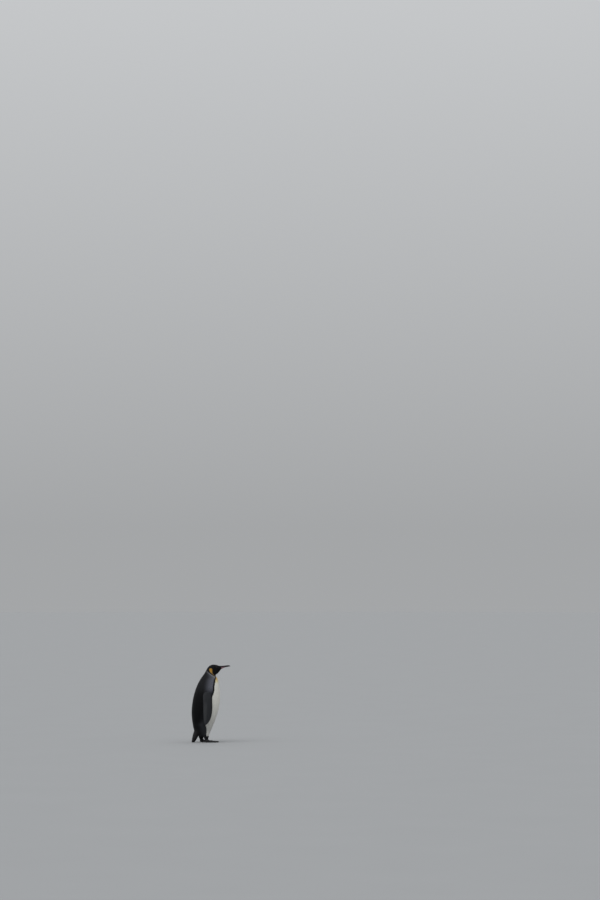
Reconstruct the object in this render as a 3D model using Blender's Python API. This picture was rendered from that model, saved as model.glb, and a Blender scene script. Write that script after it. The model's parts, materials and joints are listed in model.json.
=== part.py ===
"""King penguin: a still, life-size standing model, in metres, +Z up.

The bird faces -Y, with its left side at +X. It stands on two webbed feet and its tail tip on the plane z = 0,
and the origin is on that plane, under the middle of its bounding box. Sizes below are millimetres in the bird's
own terms: forward of the legs' middle, lateral (left is positive) and height above the floor.
A rung is one section of a body: the front (or under) point and the back (or upper) point of its outline,
then its width. A loft runs a closed skin over rungs.
"""

import math

import bmesh
import bpy
from mathutils import Matrix, Vector

MM = 0.001
GAP = 0.35 * MM  # clear space between pieces that touch
COLLECTION = "king_penguin"
CUTTERS = "cutters"

# Trunk, neck and head in one run, from the vent up over the breast to the bill's base.
# front forward, front height, back forward, back height, width
BODY_RUNGS = (
    (-8, 57, -42, 58, 44),
    (26, 66, -76, 70, 112),
    (47, 90, -99, 98, 152),
    (65, 132, -113, 140, 186),
    (88, 184, -122, 190, 210),
    (111, 244, -129, 242, 230),
    (132, 308, -132, 298, 243),
    (146, 370, -128, 362, 249),
    (153, 434, -118, 428, 248),
    (152, 490, -104, 486, 240),
    (148, 540, -86, 540, 222),
    (141, 580, -66, 586, 193),
    (133, 612, -43, 626, 161),
    (122, 636, -20, 658, 131),
    (111, 654, -2, 683, 108),
    (107, 661.5, 10, 705, 94),
    (112, 667, 22, 727, 85),
    (121, 673, 37, 748, 79),
    (131, 681, 60, 764, 75),
    (140, 691, 87, 769, 69),
    (148.5, 702.5, 112, 766, 58),
    (156, 712.5, 130, 760.5, 43),
    (162.5, 720.5, 143, 755.5, 29),
)
TRUNK_TOP = 12.0  # rung where the trunk ends and the neck begins
NECK_TOP = 15.6  # rung where the neck ends and the head begins
RING_STEP = 0.55  # rungs between one ring of the loft and the next
BODY_SEGMENTS = 30
SEAM = 0.03  # half of the thin cut between two lengths of the body, in rungs
TRUNK_SQUARENESS = 2.2  # 2 is an ellipse
HEAD_TURN = math.radians(-8)  # the head looks a little to its right
TURN_FROM, TURN_TO = 12.0, 16.5  # rungs over which the neck takes that turn
TURN_PIVOT = 50  # forward place of the upright line that the head turns about

EYE = (112, 26.5, 742)  # forward, lateral and height of the left eye's centre
EYE_RADIUS = 7.0

# Bill: mouth-line point, ridge point and width of each rung, then the same for the lower bill.
UPPER_BILL = (
    (153.2, 738.6, 143.7, 756.2, 27),
    (166, 741.2, 162, 756.0, 20),
    (182, 744.2, 180, 756.3, 14.8),
    (200, 747.2, 199, 757.4, 11),
    (217, 749.8, 217, 759.0, 8.8),
    (232, 751.4, 233, 759.8, 7.4),
    (243.5, 751.4, 245.5, 758.4, 5.9),
    (252, 749.4, 254, 754.4, 3.7),
    (255.8, 746.8, 257.2, 749.3, 1.6),
)
LOWER_BILL = (
    (163.6, 720.4, 153.7, 737.9, 25),
    (173.5, 726.9, 167.5, 740.6, 19),
    (186, 733.4, 183, 743.7, 14.2),
    (201, 738.8, 201, 746.7, 10.4),
    (217.5, 743.0, 217.5, 749.3, 8),
    (232, 746.2, 232, 750.9, 6.5),
    (243, 747.6, 243, 750.7, 4.6),
    (249.5, 748.2, 249.5, 749.7, 2.2),
)
UPPER_BIAS, LOWER_BIAS = 1.7, 0.6  # both halves are widest towards the mouth line
BILL_SEGMENTS = 16
BILL_STEP = 0.5
PLATE_FROM, PLATE_TO = 0.5, 4.0  # rungs of the lower bill that its coloured side plate covers
PLATE_THICKNESS = 0.9
PLATE_LOW, PLATE_HIGH = math.radians(28), math.radians(140)  # how far round the bill the plate reaches

# Flipper: height, leading edge forward, trailing edge forward, lateral centre, thickness.
FLIPPER_STATIONS = (
    (562, 22, -16, 80, 34),
    (532, 31, -30, 94, 34),
    (502, 37, -41, 107, 30),
    (470, 39, -49, 118, 25.5),
    (436, 39, -52, 126.5, 21),
    (395, 41, -52, 132.5, 17),
    (345, 43, -52, 135.5, 13.5),
    (295, 39, -51, 134.5, 11),
    (256, 31, -49, 131.5, 9.5),
    (226, 21, -47, 129, 8.2),
    (204, 8, -44, 127.5, 7),
    (188, -6, -40, 126.3, 5.6),
    (176, -20, -36.5, 125.4, 4.2),
    (171, -26, -32.5, 125, 2.6),
)
FLIPPER_SEGMENTS = 16
FLIPPER_STEP = 0.75
FLIPPER_TILT = 0.12  # how much nearer to the body the trailing edge lies, per unit of chord
FLIPPER_CAMBER = 4.0  # how far both edges curl in towards the body

# Tail: one wedge from the coverts under the rump down to the stiff feathers that prop the bird.
TAIL_RUNGS = (
    (-36, 122, -98, 134, 88),
    (-59, 80, -115, 92, 80),
    (-74, 52, -124, 58, 70.5),
    (-86.5, 31, -130, 35, 60),
    (-96.5, 15, -133.5, 18, 51),
    (-104.5, 4, -136, 5, 43.5),
    (-110.5, -5, -138, -4, 37.5),
)
TAIL_SEGMENTS = 26
TAIL_FLUTE = 0.09  # depth of the grooves between the feathers at the tip, as a share of the section
TAIL_FLUTE_FROM = 2.0  # rung where those grooves begin

# Legs and feet. Each row of LEG_RUNGS is taken from the leg's own middle.
LEG_SPREAD = 50
LEG_FORWARD = {"left": -23, "right": 2}
LEG_RUNGS = (
    (30, 150, -32, 150, 44),
    (35, 114, -36, 112, 62),
    (32, 84, -34, 80, 60),
    (25, 57, -27, 53, 48),
    (20, 38, -21, 35, 39),
)
TARSUS_RUNGS = (
    (18.5, 37.2, -18.5, 34.2, 33),
    (20.5, 28, -17, 25, 31),
    (26, 19, -15.5, 14, 31),
    (34, 12, -13, 4, 34),
    (38, 5, -6, -4, 33),
)
TARSUS_SEGMENTS = 14
FOOT_YAW = math.radians(8)  # toes point out
TOE_BASE = 6
# name, bearing from straight ahead (inwards is positive), length, radius at the base and at the end, joints
TOES = (
    ("inner", math.radians(24), 76, 8.2, 5.8, 2),
    ("middle", math.radians(1), 102, 8.8, 6.0, 3),
    ("outer", math.radians(-21), 91, 8.2, 5.8, 4),
)
HIND_TOE = ("hind", math.radians(78), 19, 5.4, 4.0, 1)  # small, on the inner side of the tarsus
TOE_SEGMENTS = 10
TOE_FLATTEN = 0.86
WEB_TOP = 6.4
WEB_SLOPE = 3.0  # how much lower the web is at its edge
WEB_UNDER = 0.9
WEB_REACH = 0.93  # how far along the toes the web's edge starts
WEB_SCALLOP = 0.12  # how deep it dips between two toes
CLAW_LENGTH = 19
CLAW_RADIUS = 4.4
CLAW_SEGMENTS = 8
HIND_CLAW_SCALE = 0.5

FEATHER_BLACK = (0.012, 0.012, 0.014)
FEATHER_SLATE = (0.045, 0.047, 0.056)
FEATHER_WHITE = (0.62, 0.61, 0.56)
FEATHER_GREY = (0.085, 0.085, 0.1)
SKIN_BLACK = (0.014, 0.015, 0.015)
HORN_BLACK = (0.01, 0.01, 0.011)
PLATE_PINK = (0.3, 0.12, 0.16)
EYE_BROWN = (0.03, 0.012, 0.006)


def place(forward, lateral, height):
    """World point, in metres, of a place given in the bird's terms in millimetres."""
    return Vector((lateral, -forward, height)) * MM


def spline(rows, at):
    """The row at a fractional index, on the Catmull-Rom curve through rows of equal length."""
    last = len(rows) - 1
    at = min(max(at, 0.0), last)
    i = min(int(at), last - 1)
    u = at - i
    before, start = rows[max(i - 1, 0)], rows[i]
    end, after = rows[i + 1], rows[min(i + 2, last)]
    return [
        0.5 * (2 * b + (c - a) * u + (2 * a - 5 * b + 4 * c - d) * u**2 + (3 * b - a - 3 * c + d) * u**3)
        for a, b, c, d in zip(before, start, end, after)
    ]


def steps(first, last, step):
    """Evenly spread values from first to last, about a step apart."""
    count = max(1, round((last - first) / step))
    return [first + (last - first) * i / count for i in range(count + 1)]


def section(rung, segments, squareness=2.0, bias=1.0):
    """Closed section over one rung: a superellipse, widest nearer the front point where bias is over 1."""
    front = place(rung[0], 0, rung[1])
    back = place(rung[2], 0, rung[3])
    power = 2 / squareness
    points = []
    for k in range(segments):
        turn = 2 * math.pi * k / segments
        along = 0.5 - 0.5 * math.copysign(abs(math.cos(turn)) ** power, math.cos(turn))
        across = math.copysign(abs(math.sin(turn)) ** power, math.sin(turn))
        point = front.lerp(back, along**bias)
        points.append(point + Vector((across * rung[4] / 2 * MM, 0, 0)))
    return points


def new_object(name, mesh, material, smooth=True):
    """Object of a mesh, in the model's collection."""
    obj = bpy.data.objects.new(name, mesh)
    bpy.data.collections[COLLECTION].objects.link(obj)
    mesh.materials.append(material)
    if smooth:
        mesh.shade_smooth()
        mesh.set_sharp_from_angle(angle=math.radians(40))
    return obj


def adopt(obj):
    """Move an object that an operator made into the model's collection."""
    for holder in list(obj.users_collection):
        holder.objects.unlink(obj)
    bpy.data.collections[COLLECTION].objects.link(obj)


def loft(name, rings, material):
    """Solid through closed rings of equal counts, each end closed by a fan about its middle."""
    shape = bmesh.new()
    rows = [[shape.verts.new(p) for p in ring] for ring in rings]
    count = len(rows[0])
    for lower, upper in zip(rows, rows[1:]):
        for i in range(count):
            j = (i + 1) % count
            shape.faces.new((lower[i], lower[j], upper[j], upper[i]))
    for row in (rows[0], rows[-1]):
        middle = shape.verts.new(sum((v.co for v in row), Vector()) / count)
        for i in range(count):
            shape.faces.new((row[i], row[(i + 1) % count], middle))
    bmesh.ops.recalc_face_normals(shape, faces=shape.faces)
    mesh = bpy.data.meshes.new(name)
    shape.to_mesh(mesh)
    shape.free()
    return new_object(name, mesh, material)


def plain_material(name, colour, roughness):
    """Principled material of one colour."""
    material = bpy.data.materials.new(name)
    material.use_nodes = True
    shader = material.node_tree.nodes["Principled BSDF"]
    shader.inputs["Base Color"].default_value = (*colour, 1)
    shader.inputs["Roughness"].default_value = roughness
    shader.inputs["Metallic"].default_value = 0
    return material


def hide_as_cutter(obj):
    """Keep a helper out of the model."""
    obj.hide_render = True
    obj.display_type = "WIRE"
    bpy.data.collections[COLLECTION].objects.unlink(obj)
    bpy.data.collections[CUTTERS].objects.link(obj)
    return obj


def boolean(obj, other, operation):
    """Live Boolean of obj with another mesh object."""
    modifier = obj.modifiers.new(operation.lower(), "BOOLEAN")
    modifier.operation = operation
    modifier.object = other
    modifier.solver = "EXACT"


def grown_copy(obj, name):
    """Cutter of obj's shape, larger all round by the gap."""
    cutter = obj.copy()
    cutter.data = obj.data.copy()
    cutter.name = name
    bpy.data.collections[COLLECTION].objects.link(cutter)
    grow = cutter.modifiers.new("grow", "DISPLACE")
    grow.strength = GAP
    grow.mid_level = 0
    return hide_as_cutter(cutter)


def head_turn(at):
    """Matrix that turns the section at a rung of the body about the neck's upright pivot."""
    share = min(max((at - TURN_FROM) / (TURN_TO - TURN_FROM), 0), 1)
    share = share * share * (3 - 2 * share)
    pivot = Matrix.Translation(place(TURN_PIVOT, 0, 0))
    return pivot @ Matrix.Rotation(HEAD_TURN * share, 4, "Z") @ pivot.inverted()


def turned(points, at=len(BODY_RUNGS)):
    """Points carried along by the head's turn."""
    matrix = head_turn(at)
    return [matrix @ p for p in points]


def make_body(materials):
    """Trunk, neck and head: lengths of one loft, with thin cuts between them."""
    top = len(BODY_RUNGS) - 1
    lengths = (
        ("trunk", 0, TRUNK_TOP - SEAM, "slate"),
        ("neck", TRUNK_TOP + SEAM, NECK_TOP - SEAM, "grey"),
        ("head", NECK_TOP + SEAM, top, "black"),
    )
    made = {}
    for name, first, last, colour in lengths:
        rings = []
        for at in steps(first, last, RING_STEP):
            square = TRUNK_SQUARENESS + (2 - TRUNK_SQUARENESS) * min(at / TRUNK_TOP, 1) ** 2
            ring = section(spline(BODY_RUNGS, at), BODY_SEGMENTS, square)
            rings.append(turned(ring, at))
        made[name] = loft(name, rings, materials[colour])
    return made


def make_eye(side, head, materials):
    """Eyeball in its socket, which is cut into the head."""
    sign = 1 if side == "left" else -1
    centre = head_turn(len(BODY_RUNGS)) @ place(EYE[0], sign * EYE[1], EYE[2])
    bpy.ops.mesh.primitive_uv_sphere_add(
        segments=16, ring_count=8, radius=EYE_RADIUS * MM, location=centre, rotation=(0, math.pi / 2, 0)
    )
    eye = bpy.context.object
    eye.name = "eye_" + side
    eye.data.name = eye.name
    eye.data.materials.append(materials["eye"])
    eye.data.shade_smooth()
    adopt(eye)
    socket = eye.copy()
    socket.data = eye.data.copy()
    socket.name = "socket_" + side
    socket.scale = [1 + GAP / (EYE_RADIUS * MM)] * 3
    bpy.data.collections[COLLECTION].objects.link(socket)
    boolean(head, hide_as_cutter(socket), "DIFFERENCE")
    return eye


def make_bill(materials):
    """Upper and lower bill, closed, with the coloured plate on each side of the lower one."""
    for name, rungs, bias in (("bill_upper", UPPER_BILL, UPPER_BIAS), ("bill_lower", LOWER_BILL, LOWER_BIAS)):
        rings = [
            turned(section(spline(rungs, at), BILL_SEGMENTS, 2.0, bias))
            for at in steps(0, len(rungs) - 1, BILL_STEP)
        ]
        loft(name, rings, materials["horn"])
    for side in ("left", "right"):
        make_plate(side, materials["plate"])


def make_plate(side, material):
    """Thin plate that lies on one side of the lower bill, tapering to a point towards its tip."""
    sign = 1 if side == "left" else -1
    across = 7
    close = GAP + 0.1 * MM
    rings = []
    for at in steps(PLATE_FROM, PLATE_TO, BILL_STEP):
        rung = spline(LOWER_BILL, at)
        front, back = place(rung[0], 0, rung[1]), place(rung[2], 0, rung[3])
        upward = (back - front).normalized()
        share = (at - PLATE_FROM) / (PLATE_TO - PLATE_FROM)
        high = PLATE_HIGH - (PLATE_HIGH - PLATE_LOW) * 0.35 * share

        def on_bill(turn):
            spot = front.lerp(back, (0.5 - 0.5 * math.cos(turn)) ** LOWER_BIAS)
            return spot + Vector((sign * math.sin(turn) * rung[4] / 2 * MM, 0, 0))

        inner, outer = [], []
        for k in range(across + 1):
            turn = PLATE_LOW + (high - PLATE_LOW) * k / across
            along = on_bill(turn + 0.01) - on_bill(turn - 0.01)
            outward = Vector((along.dot(upward), 0, 0)) - upward * along.x
            outward = outward.normalized() * sign
            edge = math.sin(math.pi * k / across) ** 0.5
            thick = (0.35 + 0.65 * edge) * PLATE_THICKNESS * (1 - 0.5 * share) * MM
            inner.append(on_bill(turn) + outward * close)
            outer.append(on_bill(turn) + outward * (close + thick))
        rings.append(turned(inner + outer[::-1]))
    loft("bill_plate_" + side, rings, material)


def make_flipper(side, trunk_cutter, material):
    """Flipper hanging at the side: a stiff blade, its root let into the trunk's flank."""
    sign = 1 if side == "left" else -1
    rings = []
    for at in steps(0, len(FLIPPER_STATIONS) - 1, FLIPPER_STEP):
        height, leading, trailing, lateral, thickness = spline(FLIPPER_STATIONS, at)
        middle, half = (leading + trailing) / 2, (leading - trailing) / 2
        ring = []
        for k in range(FLIPPER_SEGMENTS):
            turn = 2 * math.pi * k / FLIPPER_SEGMENTS
            chord = math.cos(turn)
            taper = 0.6 + 0.4 * (1 + chord) / 2
            out = math.copysign(abs(math.sin(turn)) ** 0.8, math.sin(turn)) * thickness / 2 * taper
            bend = FLIPPER_TILT * chord * half - FLIPPER_CAMBER * chord**2 * min(1, half / 40)
            ring.append(place(middle + half * chord, sign * (lateral + bend + out), height))
        rings.append(ring)
    flipper = loft("flipper_" + side, rings, material)
    boolean(flipper, trunk_cutter, "DIFFERENCE")
    return flipper


def floor_cutter():
    """Slab under the floor, which leaves flat soles where feet and tail rest."""
    bpy.ops.mesh.primitive_cube_add(size=1, location=(0, 0, -0.05))
    slab = bpy.context.object
    slab.name = "floor_slab"
    slab.scale = (1, 1, 0.1)
    bpy.context.view_layer.update()
    slab.data.transform(slab.matrix_world)
    slab.matrix_world = Matrix.Identity(4)
    adopt(slab)
    return hide_as_cutter(slab)


def make_tail(trunk_cutter, slab, material):
    """Tail under the rump: a wedge that narrows to its stiff feathers, with grooves between them."""
    last = len(TAIL_RUNGS) - 1
    rings = []
    for at in steps(0, last, 0.5):
        ring = section(spline(TAIL_RUNGS, at), TAIL_SEGMENTS, 2.3)
        middle = sum(ring, Vector()) / TAIL_SEGMENTS
        depth = TAIL_FLUTE * max(0, at - TAIL_FLUTE_FROM) / (last - TAIL_FLUTE_FROM)
        rings.append([p.lerp(middle, depth * (k % 2)) for k, p in enumerate(ring)])
    tail = loft("tail", rings, material)
    boolean(tail, trunk_cutter, "DIFFERENCE")
    boolean(tail, slab, "DIFFERENCE")


def leg_frame(side):
    """Matrix from a leg's own middle to the world, toes turned out."""
    sign = 1 if side == "left" else -1
    spot = Matrix.Translation(place(LEG_FORWARD[side], sign * LEG_SPREAD, 0))
    return spot @ Matrix.Rotation(sign * FOOT_YAW, 4, "Z")


def make_leg(side, trunk_cutter, material):
    """Feathered shank between the trunk and the foot."""
    frame = leg_frame(side)
    rings = [
        [frame @ p for p in section(spline(LEG_RUNGS, at), TARSUS_SEGMENTS + 4, 2.0)]
        for at in steps(0, len(LEG_RUNGS) - 1, 0.5)
    ]
    leg = loft("leg_" + side, rings, material)
    boolean(leg, trunk_cutter, "DIFFERENCE")
    return leg


def toe_axis(side, bearing):
    """Unit vector along a toe, in the foot's own frame: inwards is towards the other foot."""
    sign = 1 if side == "left" else -1
    return Vector((-sign * math.sin(bearing), -math.cos(bearing), 0))


def toe_rings(side, toe):
    """Rings of one toe, from its base to its flat end, with a swelling at each joint."""
    _, bearing, length, wide, narrow, joints = toe
    axis = toe_axis(side, bearing)
    across = Vector((-axis.y, axis.x, 0))
    count = 2 * joints + 2
    rings = []
    for k in range(count + 1):
        share = k / count
        radius = wide + (narrow - wide) * share
        radius *= 1 + 0.07 * math.cos(2 * math.pi * joints * share)
        centre = place(TOE_BASE, 0, 0) + axis * share * length * MM
        centre.z = (radius * TOE_FLATTEN - 1.2) * MM
        ring = []
        for i in range(TOE_SEGMENTS):
            turn = 2 * math.pi * (i + 0.5) / TOE_SEGMENTS
            up = math.sin(turn) * radius * TOE_FLATTEN * MM
            ring.append(centre + across * math.cos(turn) * radius * MM + Vector((0, 0, up)))
        rings.append(ring)
    return rings


def web_rings(side):
    """Rings of the web: a thin fan between the outer toes, scalloped between each two toes."""
    across, along = 12, 4
    inner, outer = TOES[0], TOES[-1]
    rings = []
    for k in range(across + 1):
        bearing = inner[1] + (outer[1] - inner[1]) * k / across
        pair = (TOES[0], TOES[1]) if bearing > TOES[1][1] else (TOES[1], TOES[2])
        share = (pair[0][1] - bearing) / (pair[0][1] - pair[1][1])
        length = pair[0][2] + (pair[1][2] - pair[0][2]) * share
        length *= WEB_REACH - WEB_SCALLOP * math.sin(math.pi * share) ** 1.3
        axis = toe_axis(side, bearing)
        top, under = [], []
        for i in range(along + 1):
            reach = 6 + (length - 6) * i / along
            spot = place(TOE_BASE, 0, 0) + axis * reach * MM
            slope = WEB_SLOPE * i / along
            top.append(spot + Vector((0, 0, (WEB_TOP - slope) * MM)))
            under.append(spot + Vector((0, 0, WEB_UNDER * MM)))
        rings.append(top + under[::-1])
    return rings


def make_foot(side, slab, material):
    """Webbed foot: tarsus, three toes and the web between them, joined, with a flat sole."""
    frame = leg_frame(side)
    tarsus = [section(spline(TARSUS_RUNGS, at), TARSUS_SEGMENTS, 2.2) for at in steps(0, len(TARSUS_RUNGS) - 1, 0.5)]
    foot = loft("foot_" + side, tarsus, material)
    extras = [("web", web_rings(side))] + [(toe[0], toe_rings(side, toe)) for toe in TOES + (HIND_TOE,)]
    for name, rings in extras:
        piece = loft(f"{name}_{side}", rings, material)
        piece.matrix_world = frame
        boolean(foot, hide_as_cutter(piece), "UNION")
    foot.matrix_world = frame
    boolean(foot, slab, "DIFFERENCE")
    return foot


def make_claw(name, base, axis, length, radius, frame, material):
    """Curved claw that starts just clear of a toe's end and bends down to a blunt point."""
    across = Vector((-axis.y, axis.x, 0)).normalized()
    rings = []
    for k in range(6):
        share = k / 5
        size = radius * MM * (1 - 0.82 * share**1.3)
        centre = base + axis * share * length * MM
        centre.z = base.z - (base.z - 1.2 * MM) * share**1.6
        ring = []
        for i in range(CLAW_SEGMENTS):
            turn = 2 * math.pi * i / CLAW_SEGMENTS
            lean = axis * (math.sin(turn) * size * 0.35 * share)
            ring.append(centre + across * math.cos(turn) * size * 0.9 + Vector((0, 0, math.sin(turn) * size)) + lean)
        rings.append(ring)
    loft(name, rings, material).matrix_world = frame


def make_claws(side, material):
    """Claw on each front toe, and the small one of the hind toe on the inner side of the tarsus."""
    frame = leg_frame(side)
    for toe in TOES + (HIND_TOE,):
        toe_name, bearing, length, _, narrow, _ = toe
        scale = HIND_CLAW_SCALE if toe is HIND_TOE else 1
        axis = toe_axis(side, bearing)
        base = place(TOE_BASE, 0, 0) + axis * (length * MM + GAP)
        base.z = max(narrow * TOE_FLATTEN - 0.6, CLAW_RADIUS * scale + 0.1) * MM
        name = f"claw_{side}_{toe_name}"
        make_claw(name, base, axis, CLAW_LENGTH * scale, CLAW_RADIUS * scale, frame, material)


def centre_over_origin(root):
    """Move the whole bird so that its bounding box is centred over the origin."""
    bpy.context.view_layer.update()
    graph = bpy.context.evaluated_depsgraph_get()
    corners = [
        obj.matrix_world @ Vector(corner)
        for obj in bpy.data.collections[COLLECTION].objects
        if obj.type == "MESH"
        for corner in obj.evaluated_get(graph).bound_box
    ]
    for axis in (0, 1):
        values = [c[axis] for c in corners]
        root.location[axis] = -(min(values) + max(values)) / 2


def main():
    for obj in list(bpy.data.objects):
        bpy.data.objects.remove(obj)
    for name in (COLLECTION, CUTTERS):
        collection = bpy.data.collections.new(name)
        bpy.context.scene.collection.children.link(collection)
    materials = {
        "black": plain_material("feathers_black", FEATHER_BLACK, 0.5),
        "slate": plain_material("feathers_slate", FEATHER_SLATE, 0.5),
        "grey": plain_material("feathers_grey", FEATHER_GREY, 0.55),
        "skin": plain_material("foot_skin", SKIN_BLACK, 0.6),
        "horn": plain_material("horn", HORN_BLACK, 0.3),
        "plate": plain_material("bill_plate", PLATE_PINK, 0.35),
        "eye": plain_material("eye", EYE_BROWN, 0.08),
    }
    body = make_body(materials)
    trunk_cutter = grown_copy(body["trunk"], "trunk_grown")
    slab = floor_cutter()
    make_bill(materials)
    make_tail(trunk_cutter, slab, materials["black"])
    for side in ("left", "right"):
        make_eye(side, body["head"], materials)
        make_flipper(side, trunk_cutter, materials["slate"])
        make_leg(side, trunk_cutter, materials["black"])
        make_foot(side, slab, materials["skin"])
        make_claws(side, materials["horn"])
    root = bpy.data.objects.new("king_penguin_root", None)
    bpy.data.collections[COLLECTION].objects.link(root)
    bpy.context.view_layer.update()
    for name in (COLLECTION, CUTTERS):
        for obj in bpy.data.collections[name].objects:
            if obj is not root:
                obj.parent = root
    centre_over_origin(root)


main()
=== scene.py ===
"""Looks of a life-size king penguin: skin, feathers, bill, eyes, feet and claws, round the packed solids.

Run as a script it builds the bird and its stage. As an add-on it shows the same operators in the 3D view's
sidebar. Lengths are metres. Places on the bird are also given in its own terms, in millimetres: forward of
the legs' middle, lateral (left is positive) and height above the floor, with the head's turn taken out.
"""

import contextlib
import functools
import json
import math

import bmesh
import bpy
import numpy as np
from bpy.props import FloatProperty, FloatVectorProperty, PointerProperty
from mathutils import Matrix, Vector
from mathutils.bvhtree import BVHTree

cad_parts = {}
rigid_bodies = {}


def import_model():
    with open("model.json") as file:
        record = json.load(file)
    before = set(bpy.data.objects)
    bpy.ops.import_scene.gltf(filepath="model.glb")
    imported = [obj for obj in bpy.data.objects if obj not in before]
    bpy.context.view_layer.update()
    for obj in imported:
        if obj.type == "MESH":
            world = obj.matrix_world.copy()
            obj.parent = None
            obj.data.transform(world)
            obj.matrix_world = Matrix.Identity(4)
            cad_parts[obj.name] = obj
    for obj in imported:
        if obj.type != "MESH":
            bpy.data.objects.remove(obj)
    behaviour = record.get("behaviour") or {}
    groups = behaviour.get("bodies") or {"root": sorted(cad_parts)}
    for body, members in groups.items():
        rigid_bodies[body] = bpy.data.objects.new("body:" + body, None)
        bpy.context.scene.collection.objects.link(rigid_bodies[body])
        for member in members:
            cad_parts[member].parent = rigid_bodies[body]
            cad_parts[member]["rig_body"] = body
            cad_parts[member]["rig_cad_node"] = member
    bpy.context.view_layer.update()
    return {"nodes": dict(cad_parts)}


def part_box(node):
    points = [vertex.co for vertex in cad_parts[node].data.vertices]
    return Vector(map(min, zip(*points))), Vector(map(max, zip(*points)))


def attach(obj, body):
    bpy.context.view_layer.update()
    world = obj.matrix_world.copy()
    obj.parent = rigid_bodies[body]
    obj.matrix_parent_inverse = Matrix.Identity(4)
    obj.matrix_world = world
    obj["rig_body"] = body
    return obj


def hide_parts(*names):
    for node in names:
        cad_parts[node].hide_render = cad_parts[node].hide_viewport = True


bl_info = {
    "name": "King Penguin",
    "version": (1, 0, 0),
    "blender": (4, 5, 0),
    "location": "3D View > Sidebar > Penguin",
    "description": "Feathered skin, bill, eyes, feet and stage of a life-size king penguin",
    "category": "Object",
}

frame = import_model()

MM = 0.001
FAR = 1000  # further than anything on the bird, in millimetres
BODY_NODES = ("trunk", "neck", "head", "tail", "flipper_left", "flipper_right", "leg_left", "leg_right")
FOOT_NODES = ("foot_left", "foot_right")
SIDES = {"left": 1, "right": -1}  # each side's sign across the bird
TOES = ("inner", "middle", "outer", "hind")

# The spine as (forward, height), from the vent up over the breast to the base of the bill.
SPINE = (
    (-25, 40), (-25, 90), (-23, 140), (-15, 200), (-6, 260), (2, 320), (9, 366), (18, 431), (25, 488),
    (32, 540), (38, 583), (45, 619), (51, 647), (55, 668), (59, 686), (67, 704), (78, 719), (93, 731),
    (110, 738), (128, 741), (151, 743),
)
SPINE_STEPS = 20  # places of the fine spine from one of these points to the next
TURN_FROM, TURN_TO = 612, 696  # heights on the spine between which the neck takes the head's turn
BACK_FORWARD = -132.3  # forward place of the trunk's hindmost point
TURN_PIVOT = 50  # forward place of the upright line that the head turns about
LEGS_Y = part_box("trunk")[1].y + BACK_FORWARD * MM


def middle(node):
    """Middle of a node's box."""
    low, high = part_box(node)
    return (low + high) / 2


def head_turn():
    """Angle about the upright that the head is turned by, read from the bill's tip."""
    tip = min((v.co for v in frame["nodes"]["bill_upper"].data.vertices), key=lambda co: co.y)
    return math.atan2(tip.x, LEGS_Y - TURN_PIVOT * MM - tip.y)


HEAD_TURN = head_turn()


# ---------------------------------------------------------------- settings


def length(name, millimetres, description):
    """Length property, given in millimetres."""
    return FloatProperty(
        name=name, description=description, default=millimetres * MM, min=0, unit="LENGTH", precision=4
    )


def colour(name, rgb, description):
    """Colour property."""
    return FloatVectorProperty(
        name=name, description=description, default=rgb, subtype="COLOR", min=0, max=1
    )


def angle(name, degrees, description):
    """Angle property, given in degrees."""
    return FloatProperty(
        name=name, description=description, default=math.radians(degrees), subtype="ANGLE"
    )


def plumage(label, vane, width, spacing, ridge, depth):
    """PropertyGroup class with the sizes of one kind of feather, in millimetres."""
    fields = {
        "vane": length("Length", vane, f"Length of a {label} feather"),
        "width": length("Width", width, f"Width of a {label} feather"),
        "spacing": length("Spacing", spacing, f"Least distance between two {label} feathers"),
        "ridge": length("Ridge", ridge, f"Height of the shaft over the edges of a {label} feather"),
        "depth": length("Depth", depth, f"Depth of the {label} coat over the skin"),
    }
    members = {"__annotations__": fields, "__doc__": f"Sizes of {label} feathers."}
    return type("PENGUIN_PG_" + label, (bpy.types.PropertyGroup,), members)


FaceFeathers = plumage("face", 4.6, 2.2, 1.35, 0.15, 1.0)
HeadFeathers = plumage("head", 7.5, 3.3, 1.8, 0.2, 1.6)
NeckFeathers = plumage("neck", 13.0, 5.0, 2.3, 0.28, 2.4)
TrunkFeathers = plumage("trunk", 20.0, 7.2, 3.05, 0.36, 3.0)
FlipperFeathers = plumage("flipper", 5.8, 3.0, 1.95, 0.18, 1.1)
LegFeathers = plumage("leg", 12.0, 4.6, 2.4, 0.3, 2.4)
TailFeathers = plumage("tail", 24.0, 7.0, 3.3, 0.4, 2.6)


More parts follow.
